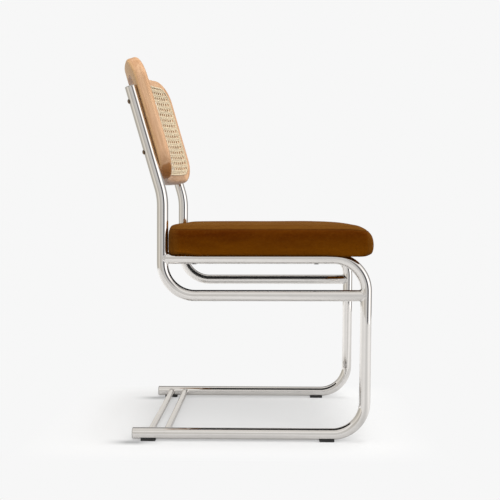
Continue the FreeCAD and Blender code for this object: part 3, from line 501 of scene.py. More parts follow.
def beech_finish(name, upright=False, board=1.0):
    """Clear-lacquered beech whose grain runs along the member, with its small dark flecks.

    board makes the whole board lighter or darker, and the lower rail's darker board is painted shade. Faces
    cut across the grain are darker; on the uprights, faces that turn down get painted shade in the end
    grain's tone, and faces that turn to the rear get painted warm bounce light."""
    finish = Finish(name)
    group, tilt = settings("finish"), settings("frame").tilt
    turn = (0, tilt, 0)
    along = (1, 1, 0.045) if upright else (1, 0.045, 1)

    def grain(scale, *rest):
        return finish.noise(tuple(scale * share for share in along), *rest, turn=turn)

    bands = grain(46, 4.0, 0.55, 0.6)
    lines = grain(330, 3.0, 0.6, 0.2)
    patches = finish.noise((7, 7, 7), 3.0, turn=turn)
    flecks = finish.noise((1500, 1500, 260) if upright else (1500, 260, 1500), 2.0, turn=turn)
    late_wood = finish.plus(finish.spread(bands, 0.40, 0.60, 0.0, 0.75),
                            finish.spread(lines, 0.42, 0.62, 0.0, 0.55))
    tone = finish.mixed(late_wood, scaled(group.beech_light, board), scaled(group.beech_dark, board))
    tone = finish.tinted(tone, patches, 0.35, 0.65, 0.55, scaled(group.beech_rose, board))
    tone = finish.tinted(tone, flecks, 0.62, 0.74, 0.4, scaled(group.beech_dark, 0.55))
    # Which way a face looks on the leaning back: forwards, sideways and up
    normal = finish.node("ShaderNodeNewGeometry").outputs["Normal"]
    facing = finish.out("ShaderNodeVectorRotate", {"Vector": normal, "Angle": tilt}, rotation_type="Y_AXIS")
    out_x, out_y, out_z = finish.split(facing)
    # Painted warm bounce light: faces that turn to the rear are painted golden
    tone = finish.tinted(tone, out_x, -0.1, -0.6, 0.8, scaled(group.beech_rear_bounce, board))
    # End grain is darker; on the uprights, faces turned down are painted much darker as painted shade
    if upright:
        cut = finish.plus(finish.spread(out_z, -0.50, -0.57, 0.0, 0.9),
                          finish.spread(out_z, 0.5, 0.9, 0.0, 0.25))
    else:
        cut = finish.spread(finish.absolute(out_y), 0.5, 0.8, 0.0, 0.4)
    tone = finish.mixed(cut, tone, finish.mixed(lines, group.beech_end_and_shade, scaled(group.beech_end_and_shade, 0.7)))
    relief = finish.plus(finish.times(lines, 0.6), finish.times(flecks, 0.4))
    return finish.set(Base_Color=tone, Roughness=finish.rough(lines, 0.34, 0.46),
                      Normal=finish.bump(relief, 0.0002, 0.35), Specular_IOR_Level=0.32, Coat_Weight=0.05,
                      Coat_Roughness=0.35)


def cane_finish():
    """Glossy cane skin: each strand has its own tone, with fibres along it."""
    finish = Finish("cane_skin")
    cane = settings("finish").cane
    tint, run, across = (finish.node("ShaderNodeAttribute", attribute_name="strand_" + name).outputs["Fac"]
                         for name in ("tint", "run", "across"))
    fibre_place = finish.vector(finish.times(run, 35.0), finish.times(across, 9.0), finish.times(tint, 97.0))
    fibres = finish.noise(1.0, 4.0, 0.6, vector=fibre_place)
    blotch_place = finish.vector(finish.times(run, 14.0), 0.0, finish.times(tint, 53.0))
    blotches = finish.noise(1.0, 3.0, vector=blotch_place)
    tone = finish.mixed(tint, scaled(cane, 0.86), scaled(cane, 1.08))
    tone = finish.tinted(tone, blotches, 0.45, 0.75, 0.5, (0.70, 0.54, 0.33))
    tone = finish.tinted(tone, fibres, 0.5, 0.8, 0.4, scaled(cane, 0.72))
    return finish.set(Base_Color=tone, Roughness=finish.rough(fibres, 0.36, 0.52),
                      Normal=finish.bump(fibres, 0.0002, 0.35), Coat_Weight=0.15, Coat_Roughness=0.3)


def reed_finish():
    """The spline: rattan core, paler and duller than the cane."""
    finish = Finish("spline_reed")
    cane = settings("finish").cane
    fibres = finish.noise((900, 900, 900), 3.0)
    soft = finish.noise(30.0, 3.0)
    tone = finish.tinted(scaled(cane, 0.98), soft, 0.3, 0.7, 1.0, scaled(cane, 0.80))
    tone = finish.tinted(tone, fibres, 0.55, 0.75, 0.4, scaled(cane, 0.6))
    return finish.set(Base_Color=tone, Roughness=0.55, Normal=finish.bump(fibres, 0.0002, 0.4))


# The seam round the top panel drops towards the front, from this X to this far behind the cushion's front
SEAM_DROP_START = 225 * MM
SEAM_DROP_END = 12 * MM

# Distance of the front panel's corner seams from the cushion's front
PANEL_SEAM = 16.5 * MM


def velvet_finish():
    """Short-pile velvet with brushed patches: dark seen straight on, with a painted golden sheen where it
    turns away.
    """
    finish = Finish("amber_velvet")
    group, pad = settings("finish"), settings("cushion")
    pile = finish.noise(1500.0, 2.0, 0.7)
    brushed = finish.noise((7, 16, 22), 5.0, 0.6, 0.8)
    strokes = finish.noise((26, 60, 90), 4.0, 0.6, 0.5)
    brush = finish.plus(finish.times(brushed, 0.65), finish.times(strokes, 0.35))
    crushed = finish.noise((150, 210, 260), 4.0, 0.7, 1.2)
    x, _y, height = finish.split(finish.place)
    # Brushed patches, and painted light that makes the sides lighter and more orange towards the lower edge
    low = finish.spread(height, pad.bottom + 44 * MM, pad.bottom + 6 * MM)
    brush_and_low_light = finish.plus(finish.spread(brush, 0.36, 0.66, 0.0, 0.35), finish.times(low, 0.75))
    ruddy = (0.185, 0.056, 0.001)
    ground = finish.mixed(brush_and_low_light, scaled(group.velvet, 0.95), ruddy)
    ground = finish.tinted(ground, pile, 0.35, 0.7, 0.30, scaled(group.velvet, 0.5))
    # Painted sheen: the top, the front and the rear edge are painted golden more than the sides, and every
    # face more where it turns away
    drop = finish.spread(x, SEAM_DROP_START, pad.front - SEAM_DROP_END, 0.0, pad.seam_side - pad.seam_front,
                         "SMOOTHSTEP")
    over = finish.minus(height, finish.minus(pad.seam_side, drop))
    top = finish.spread(over, -0.2 * MM, 0.6 * MM)
    corner = pad.front - PANEL_SEAM
    front = finish.spread(x, corner - 0.4 * MM, corner + 0.8 * MM, 0.0, 0.5)
    rear = finish.spread(x, pad.rear + 31 * MM, pad.rear + 13 * MM, 0.0, 0.72, "SMOOTHSTEP")
    panel = finish.math("MAXIMUM", top, finish.math("MAXIMUM", front, rear))
    away = finish.node("ShaderNodeLayerWeight", {"Blend": 0.5}).outputs["Facing"]
    turned = finish.times(finish.spread(away, 0.10, 0.40), finish.spread(away, 1.0, 0.9, 0.6, 1.0))
    on_panel = finish.times(panel, finish.spread(turned, 0.0, 1.0, 0.72, 1.0))
    off_panel = finish.times(finish.minus(1.0, panel), finish.times(turned, 0.22))
    golden = finish.times(finish.plus(on_panel, off_panel), finish.spread(brush, 0.33, 0.66, 0.52, 1.0))
    # Painted sheen: the golden share mixes in the sheen colour
    tone = finish.mixed(golden, ground, group.velvet_sheen)
    tone = finish.tinted(tone, crushed, 0.52, 0.74, 0.30, scaled(group.velvet_sheen, 1.25))
    tone = finish.tinted(tone, crushed, 0.47, 0.28, 0.35, scaled(group.velvet, 0.6))
    # Stitched seams lie in shade
    tone = finish.tinted(tone, finish.absolute(over), 1.3 * MM, 0.4 * MM, 0.55, scaled(group.velvet, 0.35))
    relief = finish.plus(finish.times(pile, 0.4), finish.times(crushed, 0.6))
    return finish.set(Base_Color=tone, Roughness=0.95, Normal=finish.bump(relief, 0.0009, 0.5),
                      Specular_IOR_Level=0.03, Sheen_Weight=0.12, Sheen_Roughness=0.45,
                      Sheen_Tint=(0.80, 0.42, 0.10, 1))


def bronze_finish():
    """Dark antique bronze, brighter where a key has rubbed it."""
    finish = Finish("antique_bronze")
    bronze = settings("finish").bronze
    wear = finish.noise(700.0, 4.0, 0.6)
    tone = finish.tinted(bronze, wear, 0.5, 0.75, 1.0, scaled(bronze, 2.4))
    return finish.set(Base_Color=tone, Metallic=0.9, Roughness=finish.rough(wear, 0.28, 0.45),
                      Normal=finish.bump(wear, 0.0002, 0.3))


def zinc_finish():
    """Bright zinc plate with its grey bloom."""
    finish = Finish("zinc_plate")
    bloom = finish.noise(260.0, 4.0, 0.6)
    tone = finish.tinted((0.60, 0.61, 0.62), bloom, 0.35, 0.7, 1.0, (0.44, 0.45, 0.46))
    return finish.set(Base_Color=tone, Metallic=0.95, Roughness=finish.rough(bloom, 0.26, 0.44))


def plywood_finish():
    """Birch plywood: plies on its edge and long grain on its faces."""
    finish = Finish("birch_plywood")
    two_plies = 3.0 * MM
    ply = finish.math("FRACT", finish.times(finish.split(finish.place)[2], 1 / two_plies))
    grain = finish.noise((14, 240, 240), 4.0, 0.6)
    tone = finish.mixed(finish.math("GREATER_THAN", ply, 0.5), (0.58, 0.42, 0.26), (0.44, 0.29, 0.16))
    tone = finish.tinted(tone, grain, 0.4, 0.75, 0.5, (0.36, 0.23, 0.12))
    return finish.set(Base_Color=tone, Roughness=0.7, Normal=finish.bump(grain, 0.0003, 0.4))


def lining_finish():
    """Black non-woven lining with its bonded dots and loose fibres."""
    finish = Finish("black_lining")
    black = settings("finish").lining
    dots = finish.node("ShaderNodeTexVoronoi", {"Vector": finish.place, "Scale": 620.0}).outputs["Distance"]
    fibres = finish.noise((900, 700, 900), 4.0, 0.7, 1.0)
    tone = finish.tinted(scaled(black, 0.6), dots, 0.15, 0.5, 1.0, scaled(black, 1.7))
    tone = finish.tinted(tone, fibres, 0.55, 0.8, 0.6, scaled(black, 3.0))
    return finish.set(Base_Color=tone, Roughness=0.95, Normal=finish.bump(dots, 0.0004, 0.6),
                      Sheen_Weight=0.12)


def floor_finish():
    """Pale floor that runs into the background and keeps the shadow under the chair."""
    finish = Finish("pale_floor")
    group, stage, path = settings("finish"), settings("stage"), finish.rays()
    cloud = finish.noise(1.4, 3.0)
    shown = finish.mixed(cloud, scaled(group.floor, 0.99), group.floor)
    x, y, _z = finish.split(finish.place)
    # Painted shadow: the floor is painted darker close to the rear ends of the runners, a little towards the
    # camera
    end_x, off_middle, shift = -246 * MM, 210 * MM, 16 * MM
    across = finish.absolute(finish.minus(finish.absolute(finish.plus(y, shift)), off_middle))
    along = finish.spread(finish.absolute(finish.minus(x, end_x)), 12 * MM, 82 * MM, 1.0, 0.0)
    contact = finish.times(finish.spread(across, 2 * MM, 24 * MM, 1.0, 0.0), finish.times(along, along))
    shown = finish.mixed(contact, shown, scaled(group.floor, 0.12))
    # Reflections see a floor with faint stripes that spread from the legs
    leg_x, leg_y = 0.27, -0.05
    turn = finish.math("DIVIDE", finish.math("ARCTAN2", finish.minus(x, leg_x), finish.minus(leg_y, y)),
                       2 * math.pi)
    striped = finish.ramp(finish.plus(turn, 0.5), (
        (0.00, 0.64), (0.10, 0.74), (0.17, 0.76), (0.24, 0.68), (0.31, 0.58), (0.37, 0.57), (0.43, 0.62),
        (0.47, 0.58), (0.53, 0.46), (0.56, 0.50), (0.61, 0.62), (0.66, 0.72), (0.72, 0.70), (0.79, 0.56),
        (0.90, 0.54), (1.00, 0.64)))
    colour = finish.mixed(path["Is Glossy Ray"], scaled(group.floor, 0.34), striped)
    finish.set(Base_Color=finish.mixed(path["Is Camera Ray"], colour, shown), Roughness=0.9,
               Specular_IOR_Level=0.1)
    # Away from the chair the floor glows in the background's colour
    far_x = finish.spread(finish.absolute(finish.minus(x, -0.03)), 0.30, 0.46)
    far_y = finish.spread(finish.absolute(y), 0.25, 0.36)
    near = finish.times(finish.minus(1.0, far_x), finish.minus(1.0, far_y))
    plain = finish.minus(1.0, finish.times(near, stage.shadow_share))
    glow = finish.out("ShaderNodeEmission", {"Color": (*group.background, 1)})
    both = finish.out("ShaderNodeMixShader", {0: finish.times(plain, path["Is Camera Ray"]),
                                              1: finish.shader.outputs[0], 2: glow})
    # From below, the floor is clear
    below = finish.times(finish.node("ShaderNodeNewGeometry").outputs["Backfacing"], path["Is Camera Ray"])
    clear = finish.out("ShaderNodeBsdfTransparent")
    seen = finish.out("ShaderNodeMixShader", {0: below, 1: both, 2: clear})
    finish.feed(finish.tree.nodes["Material Output"].inputs["Surface"], seen)
    return finish.material


COATINGS = {}


def coating(name):
    """A material by name, made once."""
    makers = {"chrome": chrome_finish, "weld": weld_finish, "plug": plug_finish, "glide": glide_finish,
              "cane": cane_finish, "reed": reed_finish, "velvet": velvet_finish, "bronze": bronze_finish,
              "zinc": zinc_finish, "plywood": plywood_finish, "lining": lining_finish, "floor": floor_finish,
              "beech_across": lambda: beech_finish("beech_across"),
              # The lower rail's beech is painted darker, as painted shade
              "beech_lower_shaded": lambda: beech_finish("beech_lower_shaded", board=0.70),
              "beech_upright": lambda: beech_finish("beech_upright", upright=True)}
    if name not in COATINGS:
        COATINGS[name] = makers[name]()
    return COATINGS[name]


def dress(name, *nodes):
    """Give CAD nodes a coating in their material slots."""
    for node in nodes:
        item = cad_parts[node]
        for place in range(max(len(item.material_slots), 1)):
            if place < len(item.material_slots):
                item.material_slots[place].material = coating(name)
            else:
                item.data.materials.append(coating(name))


# Tube frame
def tube_tree():
    """Route with a bend radius at each point, rounded and swept with a circle."""
    group, tree, given = geometry_tree("Bent tube", {"Radius": TUBE_RADIUS, "Bend steps": 28,
                                                     "Round steps": 64})
    curve = tree.out("GeometryNodeMeshToCurve", {"Mesh": given["Geometry"]})
    bent = tree.out("GeometryNodeFilletCurve", {"Curve": curve, "Count": given["Bend steps"],
                                                "Radius": tree.attribute("bend_radius")}, mode="POLY")
    ring = tree.out("GeometryNodeCurvePrimitiveCircle", {"Resolution": given["Round steps"],
                                                         "Radius": given["Radius"]}, mode="RADIUS")
    swept = tree.out("GeometryNodeCurveToMesh", {"Curve": bent, "Profile Curve": ring, "Fill Caps": True})
    finish_tree(tree, swept, given["Material"])
    return group


def route(points, radii):
    """The corners of a tube's route with the bend radius at each."""
    return point_mesh("route", points, chain(len(points)), "bend_radius", radii)


def cope(piece, end, axis_point, axis, direction):
    """Slide a tube's end ring along the tube until it lies on the tube that it meets."""
    reach = TUBE_RADIUS + 0.15 * MM
    behind_end = 0.4 * MM
    for vertex in piece.data.vertices:
        from_end = vertex.co - end
        if from_end.dot(direction) > -behind_end and from_end.length < 1.2 * TUBE_RADIUS:
            offset = vertex.co - axis_point
            off_axis = offset - axis * offset.dot(axis)
            side = off_axis - direction * off_axis.dot(direction)
            gap = reach ** 2 - side.length_squared
            vertex.co += direction * (-math.sqrt(max(gap, 0.0)) - off_axis.dot(direction))


def sharpen_caps(piece):
    """Keep the closed ends flat and their rims crisp."""
    for face in piece.data.polygons:
        if len(face.vertices) > 4:
            face.use_smooth = False


def weld_collar(name, meeting, branch, main, radius, size):
    """Ground fillet where a branch tube meets a main tube of the frame's own radius.

    meeting is where the axes cross, branch points away from the main tube and main along it."""
    around, steps = 56, 5
    sunk, crown, root = 0.15 * MM, 0.35 * MM, 1.2 * MM
    across = main.cross(branch).normalized()
    along = branch.cross(across).normalized()
    reach = TUBE_RADIUS + 0.12 * MM

    def seam(angle):
        radial = across * math.cos(angle) + along * math.sin(angle)
        rise = math.sqrt(max(reach ** 2 - (radius * math.cos(angle)) ** 2, 0.0))
        return meeting + radial * radius + branch * rise, radial

    points, faces = [], []
    for place in range(around):
        angle = 2 * math.pi * place / around
        point, radial = seam(angle)
        tangent = (seam(angle + 0.02)[0] - seam(angle - 0.02)[0]).normalized()
        from_axis = point - meeting
        normal = (from_axis - main * from_axis.dot(main)).normalized()
        on_main = normal.cross(tangent).normalized()
        if on_main.dot(radial - branch) < 0:
            on_main.negate()
        on_branch = radial.cross(tangent).normalized()
        if on_branch.dot(branch) < 0:
            on_branch.negate()
        lift = (normal + radial).normalized()
        first = point + on_branch * size - radial * sunk
        last = point + on_main * size
        off = last - meeting
        level = off - main * off.dot(main)
        last += level.normalized() * (TUBE_RADIUS - sunk - level.length)
        for step in range(steps + 1):
            share = step / steps
            bend = first * (1 - share) ** 2 + point * 2 * share * (1 - share) + last * share ** 2
            points.append(bend + lift * crown * math.sin(math.pi * share))
        points.append(point - lift * root)
    width = steps + 2
    for place in range(around):
        here = place * width
        there = (place + 1) % around * width
        for step in range(width):
            after = (step + 1) % width
            faces.append((here + step, there + step, there + after, here + after))
    collar = mesh_piece(name, points, faces, coating("weld"))
    outward(collar.data)
    settle(collar, "tube")


def lean_at(sizes, x, height):
    """X of a leaning tube at a height, from its X at the seat rail."""
    return x + math.tan(sizes.lean) * (height - sizes.seat_rail_height)


class CHAIR_OT_tube_frame(bpy.types.Operator):
    """Bend the two side frames and the crossbars and weld them"""
    bl_idname = "chair.tube_frame"
    bl_label = "Make tube frame"

    def execute(self, context):
        sizes = settings("frame")
        group = tube_tree()
        values = {"Radius": TUBE_RADIUS, "Bend steps": sizes.bend_steps, "Round steps": sizes.round_steps,
                  "Material": coating("chrome")}
        main = Vector((math.sin(sizes.lean), 0, math.cos(sizes.lean)))
        ahead = Vector((1, 0, 0))
        inset = ahead * TUBE_RADIUS
        bend = sizes.bend_radius
        thin_steps, thin_weld = 40, 0.8 * sizes.weld_size
        for name, side in SIDES:
            y = side * HALF_TRACK

            def leg(height):
                return Vector((lean_at(sizes, sizes.leg_x, height), y, height))

            def upright(height):
                return Vector((lean_at(sizes, sizes.upright_x, height), y, height))

            seat, lower, floor = sizes.seat_rail_height, sizes.lower_rail_height, sizes.runner_height
            kink = upright(sizes.kink_height)
            top = kink + Vector((-math.sin(sizes.tilt), 0, math.cos(sizes.tilt))) * sizes.above_kink
            runner_end = Vector((sizes.runner_rear, y, floor))
            # Each tube ends on the other one: its piece, its CAD node, that meeting, the way on, its route
            for piece, node, meeting, away, corners, radii in (
                    ("seat_and_leg", "seat_leg_tube", upright(seat), ahead,
                     [runner_end, leg(floor), leg(seat), upright(seat) + inset], [0, bend, bend, 0]),
                    ("upright", "upright_tube", leg(lower), -ahead,
                     [leg(lower) - inset, upright(lower), kink, top], [0, bend, sizes.kink_radius, 0])):
                tube = grow("%s_%s" % (name, piece), route(corners, radii), group, values)
                cope(tube, meeting + away * TUBE_RADIUS, meeting, main, -away)
                sharpen_caps(tube)
                settle(tube, "tube", "%s_%s" % (name, node))
            weld_collar(name + "_seat_rail_weld", upright(seat), ahead, main, TUBE_RADIUS, sizes.weld_size)
            weld_collar(name + "_lower_rail_weld", leg(lower), -ahead, main, TUBE_RADIUS, sizes.weld_size)
        for name in ("rear", "front"):
            node = name + "_base_crossbar"
            low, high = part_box(node)
            middle = (low + high) / 2
            radius = (high.z - low.z) / 2
            reach = HALF_TRACK - TUBE_RADIUS
            ends = [Vector((middle.x, side * reach, middle.z)) for _label, side in SIDES]
            bar = grow(name + "_crossbar", route(ends, [0, 0]), group,
                       {**values, "Radius": radius, "Round steps": thin_steps})
            for (label, side), end in zip(SIDES, ends):
                meeting = Vector((middle.x, side * HALF_TRACK, middle.z))
                outwards = Vector((0, side, 0))
                cope(bar, end, meeting, ahead, outwards)
                weld_collar("%s_crossbar_weld_%s" % (name, label), meeting, -outwards, ahead, radius,
                            thin_weld)
            sharpen_caps(bar)
            settle(bar, "tube", node)
        return {"FINISHED"}


class CHAIR_OT_end_fittings(bpy.types.Operator):
    """Finish the end plugs and the glides"""
    bl_idname = "chair.end_fittings"
    bl_label = "Finish plugs and glides"

    def execute(self, context):
        for name, _side in SIDES:
            dress("plug", name + "_upright_plug", name + "_runner_plug")
            dress("glide", "rear_%s_glide" % name, "front_%s_glide" % name)
        return {"FINISHED"}


# Back
class CHAIR_OT_back_frame(bpy.types.Operator):
    """Finish the bent wooden frame of the back"""
    bl_idname = "chair.back_frame"
    bl_label = "Finish back frame"

    def execute(self, context):
        dress("beech_across", "back_top_rail", "back_frame_dowels")
        # The bottom rail takes the beech with painted shade
        dress("beech_lower_shaded", "back_bottom_rail")
        dress("beech_upright", "back_right_stile", "back_left_stile")
        dress("zinc", "back_inserts")
        return {"FINISHED"}


def bend_tree(name, profile, extra):
    """Lines drawn on the flat back, swept with a profile, then bent and leaned back.

    profile is a function that adds the profile curve's nodes."""
    sizes, back = settings("frame"), settings("back")
    group, tree, given = geometry_tree(name, {
        "Front radius": back.front_radius, "Bend centre": back.bend_centre, "Tilt": sizes.tilt,
        "Kink X": lean_at(sizes, sizes.upright_x, sizes.kink_height), "Kink Z": sizes.kink_height, **extra})
    curve = tree.out("GeometryNodeMeshToCurve", {"Mesh": given["Geometry"]})
    curve = tree.out("GeometryNodeSetCurveNormal", {"Curve": curve}, mode="Z_UP")
    curve = tree.stored(curve, "strand_run", tree.node("GeometryNodeSplineParameter").outputs["Length"])
    swept = tree.out("GeometryNodeCurveToMesh", {"Curve": curve, "Profile Curve": profile(tree, given),
                                                 "Fill Caps": True})
    x, y, z = tree.split(tree.out("GeometryNodeInputPosition"))
    angle = tree.math("DIVIDE", x, given["Front radius"])
    radius = tree.minus(given["Front radius"], z)
    forward = tree.minus(given["Bend centre"], tree.times(radius, tree.math("COSINE", angle)))
    level = tree.times(radius, tree.math("SINE", angle))
    leaned = tree.out("ShaderNodeVectorRotate", {"Vector": tree.vector(forward, level, y),
                                                 "Angle": tree.times(given["Tilt"], -1.0)},
                      rotation_type="Y_AXIS")
    kink = tree.vector(given["Kink X"], 0.0, given["Kink Z"])
    placed = tree.out("ShaderNodeVectorMath", {0: leaned, 1: kink}, operation="ADD")
    moved = tree.out("GeometryNodeSetPosition", {"Geometry": swept, "Position": placed})
    finish_tree(tree, moved, given["Material"])
    return group


def profile_curve(tree, points, width, height):
    """A closed outline from points given as shares of a width and a height, with its place across stored."""
    holder = bpy.data.objects.new("profile", point_mesh("profile", [(x, y, 0) for x, y in points],
                                                        loop(len(points))))
    info = tree.node("GeometryNodeObjectInfo", {"Object": holder}).outputs["Geometry"]
    sized = tree.out("GeometryNodeTransform", {"Geometry": info, "Scale": tree.vector(width, height, 1.0)})
    curve = tree.out("GeometryNodeMeshToCurve", {"Mesh": sized})
    x = tree.split(tree.out("GeometryNodeInputPosition"))[0]
    return tree.stored(curve, "strand_across", tree.math("DIVIDE", x, width))


def strand_profile(tree, given):
    """A flat strand with a rounded skin side."""
    points = [(-0.5, -0.10), (-0.36, 0.42), (0.0, 0.56), (0.36, 0.42), (0.5, -0.10),
              (0.34, -0.44), (-0.34, -0.44)]
    return profile_curve(tree, points, given["Strand width"], given["Strand thickness"])


def reed_profile(tree, given):
    """A reed with a round top and a flat foot in its groove."""
    turns = [math.pi * n / 8 for n in range(1, 8)]
    dome = [(0.5 * math.cos(turn), 0.1 + 0.9 * math.sin(turn)) for turn in turns]
    points = [(0.5, -0.6), (0.5, 0.1), *dome, (-0.5, 0.1), (-0.5, -0.6)]
    return profile_curve(tree, points, given["Reed width"], given["Reed height"])


def flat_outline(inset):
    """Half width, half height, corner radius and middle of the flat back, drawn in by an inset."""
    back = settings("back")
    return (back.half_width - inset, (back.high - back.low) / 2 - inset, back.corner - inset,
            (back.low + back.high) / 2)


def inside_outline(point, inset):
    """Whether a point of the flat back lies inside its rounded outline drawn in by an inset."""
    bend = settings("back").front_radius
    half, half_height, corner, middle = flat_outline(inset)
    across = abs(bend * math.sin(point.x / bend))
    rise = abs(point.y - middle)
    if across > half or rise > half_height:
        return False
    over = Vector((max(across - half + corner, 0), max(rise - half_height + corner, 0)))
    return over.length <= corner


def clipped(line, inset):
    """The part of a line of points that lies inside the outline, with its ends cut on it."""
    inside = [inside_outline(point, inset) for point in line]
    if not any(inside):
        return []
    first = inside.index(True)
    last = len(line) - 1 - inside[::-1].index(True)
    kept = line[first:last + 1]
    for end, beyond, before in ((0, first - 1, True), (-1, last + 1, False)):
        if 0 <= beyond < len(line):
            near, far = kept[end].copy(), line[beyond].copy()
            for _step in range(12):
                middle = (near + far) / 2
                if inside_outline(middle, inset):
                    near = middle
                else:
                    far = middle
            if (near - kept[end]).length > 0.2 * MM:
                kept = [near] + kept if before else kept + [near]
    return kept if len(kept) > 1 else []


def weave_lines():
    """Middle lines of all strands on the flat back, as three lists: upright, level and slanting strands.

    Upright and level strands run in pairs and cross over and under. Slanting strands run single and cut
    the corners of the square holes, which makes them eight-sided."""
    back = settings("back")
    pitch, share = back.pitch, back.pair_share
    weave = 0.55 * back.strand_thickness
    middle = (back.low + back.high) / 2
    depth = -back.cane_depth
    columns = math.ceil(back.half_width / pitch) + 1
    rows = math.ceil((back.high - back.low) / 2 / pitch) + 1
    steps = (-share, 0.0, share, 0.32, 0.5, 0.68)

    def wave(place):
        """Height of the strand that passes over at one side of a pair and under at the other."""
        offset = (place + 0.5) % 1.0 - 0.5
        if abs(offset) <= share:
            return -math.sin(math.pi * offset / (2 * share))
        beyond = offset if offset > 0 else offset + 1.0
        return -math.cos(math.pi * (beyond - share) / (1 - 2 * share))

    def pairs(count, length, point):
        """Pairs of strands side by side, through cells of one pitch each."""
        return [[point((number + 0.5 + side * share) * pitch, (cell + 0.5 + step) * pitch,
                       side * weave * wave(step))
                 for cell in range(-length, length + 1) for step in steps]
                for number in range(-count, count) for side in (-1, 1)]

    upright = pairs(columns, rows, lambda fixed, run, lift: Vector((fixed, middle + run, depth - lift)))
    level = pairs(rows, columns, lambda fixed, run, lift: Vector((run, middle + fixed, depth + lift)))
    slanting = []
    reach = columns + rows + 2
    for direction in (1, -1):
        for number in range(-2 * reach, 2 * reach):
            line = []
            for place in range(-8 * reach, 8 * reach + 1):
                x = (place / 8 + 0.5) * pitch
                y = direction * (x - (number + 0.5) * pitch)
                if abs(x) <= (columns + 1) * pitch and abs(y) <= (rows + 1) * pitch:
                    height = direction * back.strand_thickness * math.cos(2 * math.pi * (place / 8))
                    line.append(Vector((x, middle + y, depth + height)))
            if len(line) > 1:
                slanting.append(line)
    return upright, level, slanting


def strand_mesh(lines, rng):
    """Lines of points as one mesh of edges, with a tone for each line."""
    points, edges, tints = [], [], []
    for line in lines:
        tint = rng.random()
        edges += chain(len(line), len(points))
        points += line
        tints += [tint] * len(line)
    return point_mesh("lines", points, edges, "strand_tint", tints)


def outline_points(inset, corner_steps):
    """Points along the back's rounded outline, drawn in by an inset, on the flat back."""
    bend = settings("back").front_radius
    half, half_height, corner, middle = flat_outline(inset)
    longest = 8 * MM
    points = []
    for quarter, (across, up) in enumerate(((1, 1), (-1, 1), (-1, -1), (1, -1))):
        centre = Vector((across * (half - corner), up * (half_height - corner)))
        for step in range(corner_steps + 1):
            angle = math.pi / 2 * (quarter + step / corner_steps)
            points.append(centre + Vector((math.cos(angle), math.sin(angle))) * corner)
    dense = []
    for here, there in zip(points, points[1:] + points[:1]):
        pieces = max(1, round((there - here).length / longest))
        dense += [here.lerp(there, n / pieces) for n in range(pieces)]
    return [Vector((bend * math.asin(p.x / bend), middle + p.y, 0)) for p in dense]


class CHAIR_OT_cane(bpy.types.Operator):
    """Weave the cane and press in its spline"""
    bl_idname = "chair.cane"
    bl_label = "Weave cane"

    def execute(self, context):
        back = settings("back")
        rng = random.Random(7)
        group = bend_tree("Woven strands", strand_profile, {"Strand width": back.strand_width,
                                                            "Strand thickness": back.strand_thickness})
        inset = back.cane_border + 0.35 * back.groove
        values = {"Material": coating("cane")}
        for name, lines in zip(("upright", "level", "slanting"), weave_lines()):
            kept = [short for short in (clipped(line, inset) for line in lines) if short]
            piece = grow("cane_%s_strands" % name, strand_mesh(kept, rng), group, values)
            settle(piece, "cane", "cane_webbing")

        play = 0.1 * MM
        group = bend_tree("Spline", reed_profile, {"Reed width": back.groove - play,
                                                   "Reed height": back.spline_proud})
        points = outline_points(back.cane_border + back.groove / 2, corner_steps=14)
        mesh = point_mesh("spline_line", points, loop(len(points)), "strand_tint", [0.5] * len(points))
        settle(grow("back_spline", mesh, group, {"Material": coating("reed")}), "cane", "cane_spline")
        return {"FINISHED"}


# Screws
def screw_mesh(name, head_radius, head_height, shank_radius, shank_length):
    """A domed screw with a six-sided socket; its head stands above Z = 0."""
    around, dome_steps = 36, 6
    # Shares of the head's radius or height
    rim_share, dome_end_share, rim_top_share, socket_share, depth_share = 0.985, 0.40, 0.24, 0.30, 0.65
    rings = [(shank_radius, -shank_length), (shank_radius, 0.0), (head_radius * rim_share, 0.0),
             (head_radius, 0.08 * head_height), (head_radius * rim_share, rim_top_share * head_height)]
    for step in range(1, dome_steps + 1):
        share = step / dome_steps
        rings.append((head_radius * (rim_share - (rim_share - dome_end_share) * share),
                      head_height * (rim_top_share + (1 - rim_top_share) * math.sin(share * math.pi / 2))))
    angles = [2 * math.pi * step / around for step in range(around)]
    points = [(radius * math.cos(angle), radius * math.sin(angle), height)
              for radius, height in rings for angle in angles]
    for height in (head_height * 0.995, head_height - depth_share * head_height):
        for angle in angles:
            turn = (angle + math.pi / 6) % (math.pi / 3) - math.pi / 6
            radius = socket_share * head_radius / math.cos(turn)
            points.append((radius * math.cos(angle), radius * math.sin(angle), height))
    faces = ring_faces(len(points) // around, around)
    mesh = bpy.data.meshes.new(name)
    mesh.from_pydata(points, [], faces)
    mesh.polygons.foreach_set("use_smooth", [len(f) < 8 for f in faces])
    shape = bmesh.new()
    shape.from_mesh(mesh)
    for edge in shape.edges:
        if len(edge.link_faces) == 2 and edge.calc_face_angle(0) > math.radians(38):
            edge.smooth = False
    shape.to_mesh(mesh)
    shape.free()
    return mesh


def place_copies(name, label, mesh, places, material):
    """One copy of a small part at each (point, direction), turned so that its Z follows the direction."""
    holder = bpy.data.objects.new(label + "_master", mesh)
    group, tree, given = geometry_tree(label, {"Size": 1.0})
    info = tree.node("GeometryNodeObjectInfo", {"Object": holder}).outputs["Geometry"]
    direction = tree.attribute("direction", "FLOAT_VECTOR")
    turn = tree.out("FunctionNodeAlignRotationToVector", {"Vector": direction}, axis="Z")
    size = tree.vector(given["Size"], given["Size"], given["Size"])
    copies = tree.out("GeometryNodeInstanceOnPoints", {"Points": given["Geometry"], "Instance": info,
                                                       "Rotation": turn, "Scale": size})
    finish_tree(tree, copies, given["Material"], smooth=False)
    points = point_mesh("places", [point for point, _way in places], [], "direction",
                        [part for _point, way in places for part in way], "FLOAT_VECTOR")
    return grow(name, points, group, {"Size": 1.0, "Material": coating(material)})


